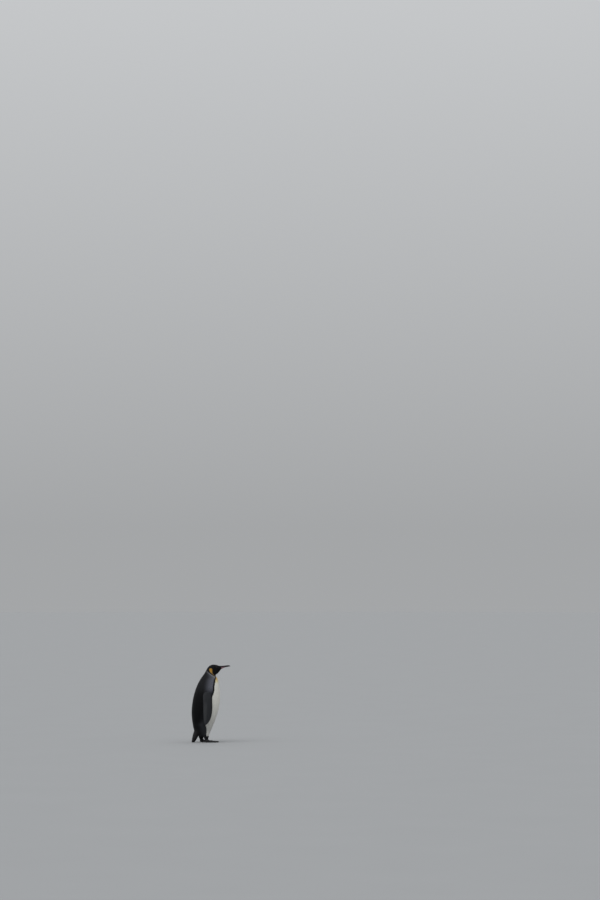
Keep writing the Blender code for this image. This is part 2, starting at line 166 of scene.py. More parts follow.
class PENGUIN_PG_colours(bpy.types.PropertyGroup):
    """Colours of the feathers, horn and skin."""

    hood: colour("Hood", (0.0075, 0.0078, 0.009), "Head, chin and the band down the side")
    ear: colour("Ear patch", (0.39, 0.208, 0.037), "Patch behind the eye")
    ear_low: colour("Ear patch, lower end", (0.27, 0.165, 0.058), "Where the patch narrows down the neck")
    bib: colour("Bib", (0.62, 0.36, 0.09), "Top of the breast")
    bib_pale: colour("Bib, paler", (0.75, 0.66, 0.38), "Where the bib fades into the breast")
    white: colour("White", (0.76, 0.745, 0.68), "Breast and belly")
    belly: colour("Lower belly", (0.5, 0.495, 0.47), "Belly between the legs")
    silver: colour("Silver edge", (0.2, 0.2, 0.205), "Pale line under the hood")
    mantle: colour("Mantle", (0.11, 0.114, 0.136), "Shoulder and side of the neck")
    back: colour("Back", (0.0085, 0.0087, 0.01), "Middle of the back")
    flank: colour("Flank", (0.0115, 0.0118, 0.0135), "Side behind the flipper")
    rump: colour("Rump", (0.0036, 0.0037, 0.0044), "Lower back")
    tail: colour("Tail", (0.0165, 0.0162, 0.017), "Stiff feathers of the tail and their coverts")
    flipper: colour("Flipper", (0.033, 0.0345, 0.038), "Outer face of the flipper")
    # painted highlight: paler stretch near the flipper's rear edge
    flipper_highlight: colour("Flipper streak", (0.058, 0.06, 0.063), "Paler stretch near its rear edge")
    foot: colour("Foot", (0.016, 0.016, 0.017), "Scaly skin of the feet")
    foot_pale: colour("Foot, worn", (0.042, 0.04, 0.038), "Raised and dusty parts of the feet")
    horn: colour("Horn", (0.008, 0.0075, 0.0078), "Bill")
    plate: colour("Bill plate", (0.25, 0.1, 0.13), "Plate on the side of the lower bill")
    plate_dark: colour("Bill plate, end", (0.11, 0.045, 0.075), "Where the plate fades towards the tip")
    iris: colour("Iris", (0.1, 0.034, 0.012), "Iris of the eye")


class PENGUIN_PG_skin(bpy.types.PropertyGroup):
    """How finely the skin is made."""

    voxel: length("Body voxel", 3.45, "Size of the skin's faces on the body")
    foot_voxel: length("Foot voxel", 1.55, "Size of the skin's faces on the feet")
    opening: length("Eye opening", 5.6, "Half of the length of the opening between the lids")
    lid: length("Lid", 0.62, "How far the lid's rim stands over the eyeball")


class PENGUIN_PG_stage(bpy.types.PropertyGroup):
    """Camera, floor and light."""

    distance: FloatProperty(name="Camera distance", description="From the bird", default=25, unit="LENGTH")
    height: FloatProperty(name="Camera height", description="Above the floor", default=1.65, unit="LENGTH")
    azimuth: angle("Azimuth", 255, "Where the camera stands round the bird")
    lens: FloatProperty(name="Lens", description="Focal length", default=100, unit="CAMERA")
    aim_right: angle("Aim right", 2.04, "How far right of the bird the camera points")
    aim_up: angle("Aim up", 2.884, "How far above the horizon the camera points")
    floor: colour("Floor", (0.285, 0.29, 0.295), "Plain pale floor")
    sky: colour("Light", (0.9, 0.92, 0.94), "Soft light from all round")


class PENGUIN_PG_settings(bpy.types.PropertyGroup):
    """All settings of the penguin."""

    face: PointerProperty(type=FaceFeathers)
    head: PointerProperty(type=HeadFeathers)
    neck: PointerProperty(type=NeckFeathers)
    trunk: PointerProperty(type=TrunkFeathers)
    flipper: PointerProperty(type=FlipperFeathers)
    leg: PointerProperty(type=LegFeathers)
    tail: PointerProperty(type=TailFeathers)
    colours: PointerProperty(type=PENGUIN_PG_colours)
    skin: PointerProperty(type=PENGUIN_PG_skin)
    stage: PointerProperty(type=PENGUIN_PG_stage)


def settings():
    """The penguin's settings in this scene."""
    return bpy.context.scene.king_penguin


# ---------------------------------------------------------------- places on the bird

TAIL_LIE = (0.0, 0.42, -1.0)  # direction in which feathers lie on the tail
LIMB_LIE = (0.0, 0.16, -1.0)  # and on flippers and legs
BODY_LIE_BACK = 0.12  # how much further back the body's feathers lie than its spine runs
LIE_REACH = 12  # the spine's direction is taken this many fine places to either side
BATCH = 4000  # points that are looked up together


def ease(value, low, high):
    """0 below low, 1 above high, and a smooth rise between; high may be the lower one."""
    share = np.clip((value - low) / (high - low), 0, 1)
    return share * share * (3 - 2 * share)


def fine_spine():
    """The spine at many even places: forward, height."""
    points = np.array(SPINE, float)
    at = np.linspace(0, len(points) - 1, (len(points) - 1) * SPINE_STEPS + 1)
    known = np.arange(len(points))
    return np.stack([np.interp(at, known, points[:, k]) for k in (0, 1)], axis=1)


def spine_place(forward, height):
    """Index on the fine spine of the place nearest each point."""
    spine = fine_spine()
    found = np.empty(len(forward), int)
    for start in range(0, len(forward), BATCH):
        part = slice(start, start + BATCH)
        gap = (forward[part, None] - spine[:, 0]) ** 2 + (height[part, None] - spine[:, 1]) ** 2
        found[part] = gap.argmin(1)
    return found


def spine_ahead(place, reach):
    """Direction of the fine spine at some of its places, taken over a reach to either side."""
    spine = fine_spine()
    return spine[np.minimum(place + reach, len(spine) - 1)] - spine[np.maximum(place - reach, 0)]


def forward_and_height(points):
    """Forward and height in millimetres of world points, with the head's turn left in."""
    return (LEGS_Y - points[:, 1]) / MM, points[:, 2] / MM


def bird(points):
    """Forward, lateral and height in millimetres of world points, and their place on the spine."""
    across = points[:, 0] / MM
    forward, height = forward_and_height(points)
    place = spine_place(forward, height)
    turn = HEAD_TURN * ease(fine_spine()[place, 1], TURN_FROM, TURN_TO)
    ahead = forward - TURN_PIVOT
    lateral = across * np.cos(turn) - ahead * np.sin(turn)
    forward = TURN_PIVOT + across * np.sin(turn) + ahead * np.cos(turn)
    return forward, lateral, height, place


def unit(vectors):
    """Vectors at length 1."""
    size = np.linalg.norm(vectors, axis=1, keepdims=True)
    return vectors / np.maximum(size, 1e-12)


def lie_of_coat(points, normals, part):
    """Direction in which feathers lie at points of the skin: from the bill back and down to the tail."""
    if part == "tail":
        lie = np.tile(TAIL_LIE, (len(points), 1))
    elif part in ("flipper", "leg"):
        lie = np.tile(LIMB_LIE, (len(points), 1))
    else:
        place = bird(points)[3]
        ahead = spine_ahead(place, LIE_REACH)
        turn = HEAD_TURN * ease(fine_spine()[place, 1], TURN_FROM, TURN_TO)
        back = ahead[:, 0]
        lie = np.stack([-back * np.sin(turn), back * np.cos(turn), -ahead[:, 1]], axis=1)
        lie = unit(lie) + np.array([0, BODY_LIE_BACK, 0])
    lie = lie - normals * (lie * normals).sum(1, keepdims=True)
    return unit(lie)


# ---------------------------------------------------------------- markings

# Middle of the black line between the grey side and the white breast: height, forward, half of its width.
BAND = (
    (60, -3, 3), (95, -5, 3), (120, -10.5, 3), (135, -12, 3), (152, -16, 3.5), (166, -24, 3.5),
    (177, -28, 3.5), (200, -8, 4), (250, 14, 5), (300, 25, 5.5), (350, 31, 6), (400, 33, 6.5), (450, 35, 7),
    (470, 45, 8), (490, 52, 9), (510, 57.5, 9.5), (530, 60, 9.5), (550, 62, 9.5), (570, 67, 9.5),
    (590, 73.5, 10), (610, 79, 9.5), (622, 87, 8), (634, 97, 6.5), (648, 104, 5),
)
# Lower edge of the black hood: forward, height.
HOOD_EDGE = (
    (-20, 710), (15, 704), (30, 690), (42, 679), (55, 669), (70, 658), (84, 651), (94, 647), (104, 651),
    (125, 660),
)
# Ear patch: forward, height and half of its width, from its round top to its lower end at the bib.
EAR_PATCH = (
    (55, 717, 13.8), (56, 707, 13.8), (58, 697, 12), (61, 688, 9), (65, 680, 5.6), (72, 671, 2.9),
    (82, 661, 1.7), (93, 653, 1.4), (101, 648, 1.6),
)
EAR_BORDER = 4.5  # width of the black line round the patch
BACK_HALF = 115  # from the band round to the middle of the back, seen from the side

# Where one tone gives way to the next, as (not yet, wholly). Heights are those above the floor, and
# shares are of the way from the band to the middle of the back, or across a flipper from its front edge.
UPPER_DARKENS, LOWER_DARKENS = (0.14, 0.92), (0.3, 0.85)  # shares
SIDE_TURNS_LOWER = (545, 465)  # heights
HIP_HEIGHTS, HIP_SHARES, HIP_TONE = (260, 200), (0.6, 0.25), 0.65
RUMP_HEIGHTS, RUMP_SHARES = (150, 90), (0.4, 0.8)
SILVER_UNDER_HOOD, SILVER_SHARES = (24, 3), (1.0, 0.2)
BELLY_GREYS, BIB_PALES, BIB_BRIGHTENS = (450, 60), (572, 606), (602, 630)  # heights
BAND_BLACKENS, PATCH_DIMS, BORDER_STARTS = (70, 120), (712, 668), (650, 658)  # heights
WHITE_EDGE, BAND_EDGE, BORDER_EDGE = 1.5, 1.2, 1  # half of how far these edges fade
HOOD_FADES, PATCH_FADES = (1.5, -1), (-0.8, 1.4)  # from outside to inside, in millimetres
HIGHLIGHT_SHARES = (0.5, 0.72), (0.97, 0.88)  # painted highlight: the flipper's paler stretch near its rear edge, from its front and from its rear
HIGHLIGHT_HEIGHTS, HIGHLIGHT_TONE = ((182, 230), (430, 350)), 0.8
SHOULDER_HEIGHTS, SHOULDER_TONE = (480, 545), 0.75
LEAD_SHARES, LEAD_HEIGHTS = (0.16, 0.05), (520, 440)  # black leading edge
INNER_LEAD, INNER_TRAIL, INNER_TIP = (0.18, 0.1), (0.78, 0.87), (225, 200)  # dark rim of the white side
INNER_FACING = (-0.75, -0.45)  # how far out a flipper's surface faces where its white side ends
SHANK_WHITENS, SHANK_EDGE, SHANK_WHITE = (56, 68), 3, 0.3
FLIPPER_ROOT = 520  # height up to which a flipper's edges are read
FLIPPER_STEP, FLIPPER_REACH = 12, 9  # spacing and half depth of the levels at which they are read


def mix(first, second, share):
    """Colours between first and second."""
    share = np.asarray(share)[..., None]
    return np.asarray(first) * (1 - share) + np.asarray(second) * share


def table_at(rows, at, column, key=0):
    """Values of one column of rows, read at values of the key column."""
    rows = np.array(rows, float)
    order = rows[:, key].argsort()
    return np.interp(at, rows[order, key], rows[order, column])


def patch_depth(forward, height):
    """How far inside the ear patch a place is, negative outside."""
    depth = np.full(len(forward), -float(FAR))
    place = np.stack([forward, height], axis=1)
    for start, end in zip(np.array(EAR_PATCH, float)[:-1], np.array(EAR_PATCH, float)[1:]):
        run = end[:2] - start[:2]
        share = np.clip(((place - start[:2]) @ run) / (run @ run), 0, 1)
        gap = np.linalg.norm(place - start[:2] - share[:, None] * run, axis=1)
        depth = np.maximum(depth, start[2] + (end[2] - start[2]) * share - gap)
    return depth


def body_markings(points):
    """Colours of trunk, neck and head."""
    hue = settings().colours
    forward, _, height, _ = bird(points)
    band, half_band = table_at(BAND, height, 1), table_at(BAND, height, 2)
    behind = (band - forward) / BACK_HALF
    upper = mix(hue.mantle, hue.back, ease(behind, *UPPER_DARKENS))
    lower = mix(hue.flank, hue.rump, ease(behind, *LOWER_DARKENS))
    hip = ease(height, *HIP_HEIGHTS) * ease(behind, *HIP_SHARES) * HIP_TONE
    lower = mix(lower, hue.flipper, hip)
    lower = mix(lower, hue.tail, ease(height, *RUMP_HEIGHTS) * ease(behind, *RUMP_SHARES))
    side = mix(upper, lower, ease(height, *SIDE_TURNS_LOWER))
    under_hood = table_at(HOOD_EDGE, forward, 1) - height
    side = mix(side, hue.silver, ease(under_hood, *SILVER_UNDER_HOOD) * ease(behind, *SILVER_SHARES))
    front = mix(hue.white, hue.belly, ease(height, *BELLY_GREYS))
    front = mix(front, hue.bib_pale, ease(height, *BIB_PALES))
    front = mix(front, hue.bib, ease(height, *BIB_BRIGHTENS))
    shown = mix(side, front, ease(forward - band, -WHITE_EDGE, WHITE_EDGE))
    line = ease(np.abs(forward - band), half_band + BAND_EDGE, half_band - BAND_EDGE)
    shown = mix(shown, hue.hood, line * ease(height, *BAND_BLACKENS))
    shown = mix(shown, hue.hood, ease(under_hood, *HOOD_FADES))
    depth = patch_depth(forward, height)
    border = ease(depth, -EAR_BORDER - BORDER_EDGE, -EAR_BORDER + BORDER_EDGE)
    shown = mix(shown, hue.hood, border * ease(height, *BORDER_STARTS))
    patch = mix(hue.ear, hue.ear_low, ease(height, *PATCH_DIMS))
    return mix(shown, patch, ease(depth, *PATCH_FADES))


@functools.lru_cache(maxsize=None)
def flipper_edges(side):
    """Heights down the flipper with the forward places of its leading and trailing edges there."""
    points = np.array([v.co for v in frame["nodes"]["flipper_" + side].data.vertices])
    forward, height = forward_and_height(points)
    levels = np.unique(np.round(height[height < FLIPPER_ROOT] / FLIPPER_STEP) * FLIPPER_STEP)
    near = [np.abs(height - level) < FLIPPER_REACH for level in levels]
    return levels, np.array([forward[n].max() for n in near]), np.array([forward[n].min() for n in near])


def flipper_markings(points, normals, side):
    """Colours of a flipper: dark outside with a paler stretch, white inside with a dark rim and tip."""
    hue = settings().colours
    forward, height = forward_and_height(points)
    levels, leading, trailing = flipper_edges(side)
    lead, trail = np.interp(height, levels, leading), np.interp(height, levels, trailing)
    chord = (lead - forward) / np.maximum(lead - trail, 1)
    # painted highlight: the paler stretch near the rear edge, where light catches the flipper
    highlight = ease(chord, *HIGHLIGHT_SHARES[0]) * ease(chord, *HIGHLIGHT_SHARES[1])
    highlight = highlight * ease(height, *HIGHLIGHT_HEIGHTS[0]) * ease(height, *HIGHLIGHT_HEIGHTS[1])
    outer = mix(hue.flipper, hue.flipper_highlight, highlight * HIGHLIGHT_TONE)
    shoulder = mix(hue.flipper, hue.mantle, SHOULDER_TONE)
    outer = mix(outer, shoulder, ease(height, *SHOULDER_HEIGHTS))
    outer = mix(outer, hue.hood, ease(chord, *LEAD_SHARES) * ease(height, *LEAD_HEIGHTS))
    inner = mix(hue.white, hue.flipper, ease(chord, *INNER_LEAD))
    inner = mix(inner, hue.flipper, np.maximum(ease(height, *INNER_TIP), ease(chord, *INNER_TRAIL)))
    return mix(inner, outer, ease(normals[:, 0] * SIDES[side], *INNER_FACING))


def leg_markings(points):
    """Colours of the feathered shanks: pale in front and above, dark behind and below."""
    hue = settings().colours
    forward, height = forward_and_height(points)
    ahead = forward - table_at(BAND, height, 1)
    pale = ease(ahead, -SHANK_EDGE, SHANK_EDGE) * ease(height, *SHANK_WHITENS)
    return mix(hue.flank, mix(hue.belly, hue.white, SHANK_WHITE), pale)


def markings(points, normals, part):
    """Colours at places of one part of the bird."""
    if part.startswith("flipper"):
        return flipper_markings(points, normals, part.rsplit("_", 1)[1])
    if part.startswith("leg"):
        return leg_markings(points)
    if part.startswith(("tail", "foot")):
        return np.tile(np.array(getattr(settings().colours, part.split("_")[0])), (len(points), 1))
    return body_markings(points)


# ---------------------------------------------------------------- mesh helpers

MERGE_WITHIN = 0.00002  # corners of a solid's triangles that lie this near are one


def select_only(*objects):
    """Deselect everything, then select these objects and make the first one active."""
    bpy.ops.object.select_all(action="DESELECT")
    for obj in objects:
        obj.select_set(True)
    bpy.context.view_layer.objects.active = objects[0]


@contextlib.contextmanager
def editing(obj, selection="SELECT"):
    """Edit mode on one object, with its mesh selected or deselected first."""
    select_only(obj)
    bpy.ops.object.mode_set(mode="EDIT")
    bpy.ops.mesh.select_all(action=selection)
    yield
    bpy.ops.object.mode_set(mode="OBJECT")


def copy_of(node, name):
    """Copy of a solid as a free object, its loose triangles merged."""
    obj = frame["nodes"][node].copy()
    obj.data = obj.data.copy()
    obj.name = obj.data.name = name
    obj.parent = None
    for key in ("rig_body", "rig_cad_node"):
        del obj[key]
    obj.hide_render = obj.hide_viewport = False
    bpy.context.scene.collection.objects.link(obj)
    obj.data.materials.clear()
    with editing(obj):
        bpy.ops.mesh.remove_doubles(threshold=MERGE_WITHIN)
        bpy.ops.mesh.normals_make_consistent(inside=False)
    return obj


def apply_modifier(obj, kind, **values):
    """Add a modifier with these values, and apply it."""
    modifier = obj.modifiers.new(kind.lower(), kind)
    for key, value in values.items():
        setattr(modifier, key, value)
    select_only(obj)
    bpy.ops.object.modifier_apply(modifier=modifier.name)


def rounded_copy(node, name, levels=2, crease_angle=38):
    """Copy of a solid with its facets rounded off, its real edges kept."""
    obj = copy_of(node, name)
    with editing(obj):
        bpy.ops.mesh.tris_convert_to_quads()
        bpy.ops.mesh.select_all(action="DESELECT")
        bpy.ops.mesh.select_mode(type="EDGE")
        bpy.ops.mesh.edges_select_sharp(sharpness=math.radians(crease_angle))
        bpy.ops.transform.edge_crease(value=1)
        bpy.ops.mesh.select_mode(type="VERT")
    apply_modifier(obj, "SUBSURF", levels=levels, render_levels=levels)
    return obj


def vectors_of(items, field):
    """Vectors that items of a mesh hold in one field."""
    values = np.empty(len(items) * 3, np.float32)
    items.foreach_get(field, values)
    return values.reshape(-1, 3).astype(float)


def numbers_of(items, field, width=1, kind=np.int32):
    """Numbers that items of a mesh hold in one field, in rows where each has more than one."""
    values = np.empty(len(items) * width, kind)
    items.foreach_get(field, values)
    return values.reshape(-1, width) if width > 1 else values


def coordinates(mesh):
    """Vertex places of a mesh."""
    return vectors_of(mesh.vertices, "co")


def put_coordinates(mesh, points):
    """Move a mesh's vertices to these places."""
    mesh.vertices.foreach_set("co", points.astype(np.float32).ravel())
    mesh.update()


def vertex_normals(mesh):
    """Smooth normals of a mesh's vertices."""
    return vectors_of(mesh.vertex_normals, "vector")


def face_centres(mesh):
    """Middles of a mesh's faces."""
    return vectors_of(mesh.polygons, "center")


def edge_ends(mesh):
    """Vertex indices of a mesh's edges."""
    return numbers_of(mesh.edges, "vertices", 2)


def spread_out(values, ends, rounds):
    """Values at vertices, averaged over neighbours a number of times."""
    count = np.bincount(ends.ravel(), minlength=len(values))
    for _ in range(rounds):
        total = np.bincount(ends[:, 0], values[ends[:, 1]], len(values))
        total += np.bincount(ends[:, 1], values[ends[:, 0]], len(values))
        values = 0.5 * values + 0.5 * total / np.maximum(count, 1)
    return values


def put_attribute(mesh, name, values, kind="FLOAT"):
    """Store values at the vertices of a mesh."""
    old = mesh.attributes.get(name)
    if old:
        mesh.attributes.remove(old)
    attribute = mesh.attributes.new(name, kind, "POINT")
    if kind == "FLOAT_COLOR":
        values = np.concatenate([values, np.ones((len(values), 1))], axis=1)
    field = "color" if kind == "FLOAT_COLOR" else "value"
    attribute.data.foreach_set(field, values.astype(np.int32 if kind == "INT" else np.float32).ravel())


def put_part(mesh, name):
    """Say that the whole of a mesh belongs to one part of the bird."""
    put_attribute(mesh, "part", np.full(len(mesh.vertices), part_number(name)), "INT")


def get_attribute(mesh, name, kind=np.int32):
    """Values stored at the vertices of a mesh."""
    return numbers_of(mesh.attributes[name].data, "value", kind=kind)


def new_object(mesh):
    """Object of a new mesh, named as the mesh is."""
    obj = bpy.data.objects.new(mesh.name, mesh)
    bpy.context.scene.collection.objects.link(obj)
    return obj


def new_primitive(add, **values):
    """Primitive that an operator adds, with nothing else selected."""
    bpy.ops.object.select_all(action="DESELECT")
    add(**values)
    return bpy.context.object


def share_along(values):
    """Values as shares of the way from their least to their greatest."""
    return (values - values.min()) / np.ptp(values)


def place_in_model(obj, *nodes, slot, material):
    """Give a finished piece its material and let it ride on the model, in place of nodes."""
    obj.data.materials.clear()
    obj.data.materials.append(material)
    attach(obj, "root")
    if nodes:
        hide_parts(*nodes)


class Surface:
    """Triangles of the skin with smooth normals, for finding the nearest place on them."""

    def __init__(self, group):
        mesh = bpy.data.objects["skin"].data
        mesh.calc_loop_triangles()
        corners = numbers_of(mesh.loop_triangles, "vertices", 3)
        self.points = coordinates(mesh)
        self.normals = vertex_normals(mesh)
        self.corners = corners[self.within(group, get_attribute(mesh, "part"), corners)]
        self.tree = BVHTree.FromPolygons(self.points.tolist(), self.corners.tolist())

    def within(self, group, part, corners):
        """Which triangles a group's feathers may lie on: flippers' and trunk's keep to their own."""
        part, height = part[corners[:, 0]], self.points[corners[:, 0], 2]
        on_flipper = (part == part_number("flipper_left")) | (part == part_number("flipper_right"))
        return (height > FLIPPER_FREE_BELOW) | (on_flipper == (group == "flipper"))

    def nearest(self, points):
        """Nearest places on the surface and their smooth normals."""
        hits = [self.tree.find_nearest(p) for p in points.tolist()]
        places = np.array([tuple(h[0]) for h in hits])
        corners = self.corners[[h[2] for h in hits]]
        a, b, c = (self.points[corners[:, k]] for k in range(3))
        whole = np.cross(b - a, c - a)
        size = np.maximum((whole * whole).sum(1), 1e-20)
        share_a = (np.cross(b - places, c - places) * whole).sum(1) / size
        share_b = (np.cross(c - places, a - places) * whole).sum(1) / size
        shares = np.stack([share_a, share_b, 1 - share_a - share_b], axis=1)
        normals = sum(self.normals[corners[:, k]] * shares[:, k : k + 1] for k in range(3))
        return places, unit(normals)


@functools.lru_cache(maxsize=None)
def surface(group):
    """The part of the skin that a group's feathers lie on, made once."""
    return Surface(group)


# ---------------------------------------------------------------- skin

PARTS = (
    "face", "head", "neck", "trunk", "tail", "flipper_left", "flipper_right", "leg_left", "leg_right",
    "foot_left", "foot_right",
)
FACE_FORWARD = 120  # the face lies ahead of this,
FACE_ROUND_EYE = 0.0145  # and this near to an eye
FLIPPER_FREE_BELOW = 0.47  # height below which a flipper hangs free of the flank
OVERLAP = 0.0005  # how far neighbouring solids are grown into each other before they become one skin
FLIPPER_GROWTH = 0.0022  # how much thicker a flipper is until it is skin, so that its thin tip holds
FLIPPER_TIP_DEPTH, FLIPPER_TIP_HEIGHTS = 0.0006, (190, 160)  # the coat is that much thinner at the tip
EYE_FACES = (-0.2, 0.05)  # how far an eye faces forward, and up, for 1 outwards
EYE_AHEAD = (0, -1, -0.12)  # direction in which the opening between the lids is long
EYE_REACHES = 0.016, 0.00992  # the skin is finer this near to an eye, and finer still this near
BILL_ROOT_TO = 178  # the skin's core runs forward to here inside the bill
BILL_ROOT_GROWTH = 0.0006
BODY_SMOOTHING, FOOT_SMOOTHING, SOCKET_SMOOTHING = 5, 4, 3  # rounds
COAT_THINS, COAT_THINNED = (134, 150), 0.75  # forward places where the coat gets thin towards the bill
COAT_THINS_ABOVE = 600  # height below which it doesn't, because that is the breast
COAT_BLEND = 8  # rounds of averaging between one part's coat and the next
BILL_SINK, BILL_SINKS = 0.0032, (-1, 4)  # how deep the skin dives into the bill past the feathering's edge
BILL_ABOVE = 700  # the bill is above this height
BILL_REACH = 6  # the skin is finer this near to 1 past the feathering's edge
LID_ROUND = 0.88  # height of the opening between the lids, as a share of its length
LID_CORNER, LID_CORNER_POWER = 0.07, 8  # how far, and how sharply, the lids run out into their corners
LID_RISE, LID_SWELL, LID_REACH = 0.0003, 1.1, 0.985
LID_WRINKLES = ((0.0001, 17, 0), (0.00007, 29, 1))  # height, number and start of each row of wrinkles
SOCKET_REACH, SOCKET_RIM, SOCKET_FADES = 2.6, 1.02, 2.3  # in openings from the eye's middle
SOCKET_DEPTH, SOCKET_RISE = 0.0022, 0.0002  # behind the lids' rim inside it, and before it outside
SOCKET_BACK = -0.3  # no skin further back than this is part of the socket, in radii of the eyeball
BARE_ROUND_EYE = (0.0095, 0.0085)
SKIN_PAINTED_SHADE = 0.9  # painted shade: how much darker the skin is than the feathers over it, as it lies in the coat's shade
TOE_FULLNESS, TOE_HEIGHTS = 0.5, (0.034, 0.014)  # how much higher the toes are than their solids
ANKLE_TOP = 0.004  # the ankle is this much of the foot's upper end
ANKLE_RISE, ANKLE_NARROWS = 0.007, 0.2  # how the foot's end runs up inside the shank
# How far forward the feathering comes over the bill: height, forward.
FEATHERING_EDGE = ((719, 169.5), (728, 164), (737, 158.5), (746, 154), (755, 149.5), (762, 147))


def part_number(name):
    """Number that stands for a part in the skin's attribute."""
    return PARTS.index(name)


def eye_axis(side):
    """Centre, radius, outward, forward and upward directions of an eye."""
    low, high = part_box("eye_" + side)
    turn = Matrix.Rotation(HEAD_TURN, 3, "Z")
    outward = (turn @ Vector((SIDES[side], *EYE_FACES))).normalized()
    ahead = (turn @ Vector(EYE_AHEAD)).normalized()
    ahead = (ahead - outward * ahead.dot(outward)).normalized()
    upward = outward.cross(ahead) * -SIDES[side]
    return np.array((low + high) / 2), (high.z - low.z) / 2, *map(np.array, (outward, ahead, upward))


def to_nearest_eye(points):
    """Distance of points from the nearer eye's centre."""
    return np.min([np.linalg.norm(points - eye_axis(side)[0], axis=1) for side in SIDES], axis=0)


def ahead_of_head():
    """Direction in which the bill points, as an array."""
    return np.array((math.sin(HEAD_TURN), -math.cos(HEAD_TURN), 0))


def cut_to_root(obj):
    """Keep only the root of a half of the bill, closed at its front."""
    pivot = np.array((0, LEGS_Y - TURN_PIVOT * MM, 0))
    place = pivot + ahead_of_head() * (BILL_ROOT_TO - TURN_PIVOT) * MM
    with editing(obj):
        bpy.ops.mesh.bisect(plane_co=place, plane_no=ahead_of_head(), use_fill=True, clear_outer=True)


def joined_copies(growths, name):
    """One object of rounded copies of nodes, each grown a little so that they run into each other."""
    copies = []
    for node, grow in growths.items():
        obj = rounded_copy(node, "part_" + node)
        put_coordinates(obj.data, coordinates(obj.data) + vertex_normals(obj.data) * grow)
        if node.startswith("bill"):
            cut_to_root(obj)
        copies.append(obj)
    select_only(*copies)
    bpy.ops.object.join()
    obj = bpy.context.object
    obj.name = obj.data.name = name
    return obj


def remeshed(obj, voxel, smoothing):
    """Turn an object into one even closed skin, and smooth it."""
    apply_modifier(obj, "REMESH", mode="VOXEL", voxel_size=voxel, use_smooth_shade=True)
    apply_modifier(obj, "SMOOTH", factor=0.5, iterations=smoothing)
    keep_largest(obj)


def keep_largest(obj):
    """Delete all but the largest connected piece of a mesh."""
    mesh = obj.data
    ends = edge_ends(mesh)
    label = np.arange(len(mesh.vertices))
    while True:
        low = np.minimum(label[ends[:, 0]], label[ends[:, 1]])
        new = label.copy()
        np.minimum.at(new, ends[:, 0], low)
        np.minimum.at(new, ends[:, 1], low)
        new = new[new]
        if (new == label).all():
            break
        label = new
    kept = np.bincount(label).argmax()
    delete_parts(obj, label != kept, "VERTS")


def delete_parts(obj, chosen, kind):
    """Delete the chosen vertices or faces of a mesh."""
    if not chosen.any():
        return
    shape = bmesh.new()
    shape.from_mesh(obj.data)
    items = shape.verts if kind == "VERTS" else shape.faces
    items.ensure_lookup_table()
    bmesh.ops.delete(shape, geom=[items[i] for i in np.nonzero(chosen)[0]], context=kind)
    shape.to_mesh(obj.data)
    shape.free()


def name_parts(obj):
    """Store at each vertex of the skin which part of the bird it belongs to."""
    points, corners, owner, start = [], [], [], 0
    for node in BODY_NODES:
        mesh = frame["nodes"][node].data
        mesh.calc_loop_triangles()
        points.append(coordinates(mesh))
        corners.extend([[start + i for i in t.vertices] for t in mesh.loop_triangles])
        owner.extend([part_number(node)] * len(mesh.loop_triangles))
        start += len(mesh.vertices)
    tree = BVHTree.FromPolygons(np.concatenate(points).tolist(), corners)
    place = coordinates(obj.data)
    part = np.array(owner)[[tree.find_nearest(p)[2] for p in place.tolist()]]
    face = (bird(place)[0] > FACE_FORWARD) | (to_nearest_eye(place) < FACE_ROUND_EYE)
    part[(part == part_number("head")) & face] = part_number("face")
    put_attribute(obj.data, "part", part, "INT")


def sink_under_coat(obj):
    """Draw the skin in from the solids' surface by the depth of the coat that covers it."""
    mesh = obj.data
    points, part = coordinates(mesh), get_attribute(mesh, "part")
    forward, _, height, _ = bird(points)
    depth = np.zeros(len(points))
    for name in PARTS[:-2]:
        here = part == part_number(name)
        depth[here] = getattr(settings(), name.split("_")[0]).depth
        if name.startswith("flipper"):
            depth[here] += FLIPPER_GROWTH - FLIPPER_TIP_DEPTH * ease(height[here], *FLIPPER_TIP_HEIGHTS)
    depth *= 1 - COAT_THINNED * ease(forward, *COAT_THINS) * (height > COAT_THINS_ABOVE)
    depth = spread_out(depth, edge_ends(mesh), COAT_BLEND)
    depth += BILL_SINK * ease(past_feathering(points), *BILL_SINKS)
    put_coordinates(mesh, points - vertex_normals(mesh) * depth[:, None])


def past_feathering(points):
    """How far in front of the feathering's edge places are, in millimetres."""
    forward, _, height, _ = bird(points)
    return np.where(height > BILL_ABOVE, forward - table_at(FEATHERING_EDGE, height, 1), -FAR)


def refine(obj, chosen):
    """Cut the chosen faces in three each way."""
    with editing(obj, "DESELECT"):
        bpy.ops.mesh.select_mode(type="FACE")
    obj.data.polygons.foreach_set("select", chosen)
    bpy.ops.object.mode_set(mode="EDIT")
    bpy.ops.mesh.subdivide(number_cuts=2, smoothness=1)
    bpy.ops.object.mode_set(mode="OBJECT")


def refine_face(obj):
    """Cut the skin finer where it meets the bill, and in two steps round each eye."""
    refine(obj, np.abs(past_feathering(face_centres(obj.data)) - 1) < BILL_REACH)
    for reach in EYE_REACHES:
        refine(obj, to_nearest_eye(face_centres(obj.data)) < reach)


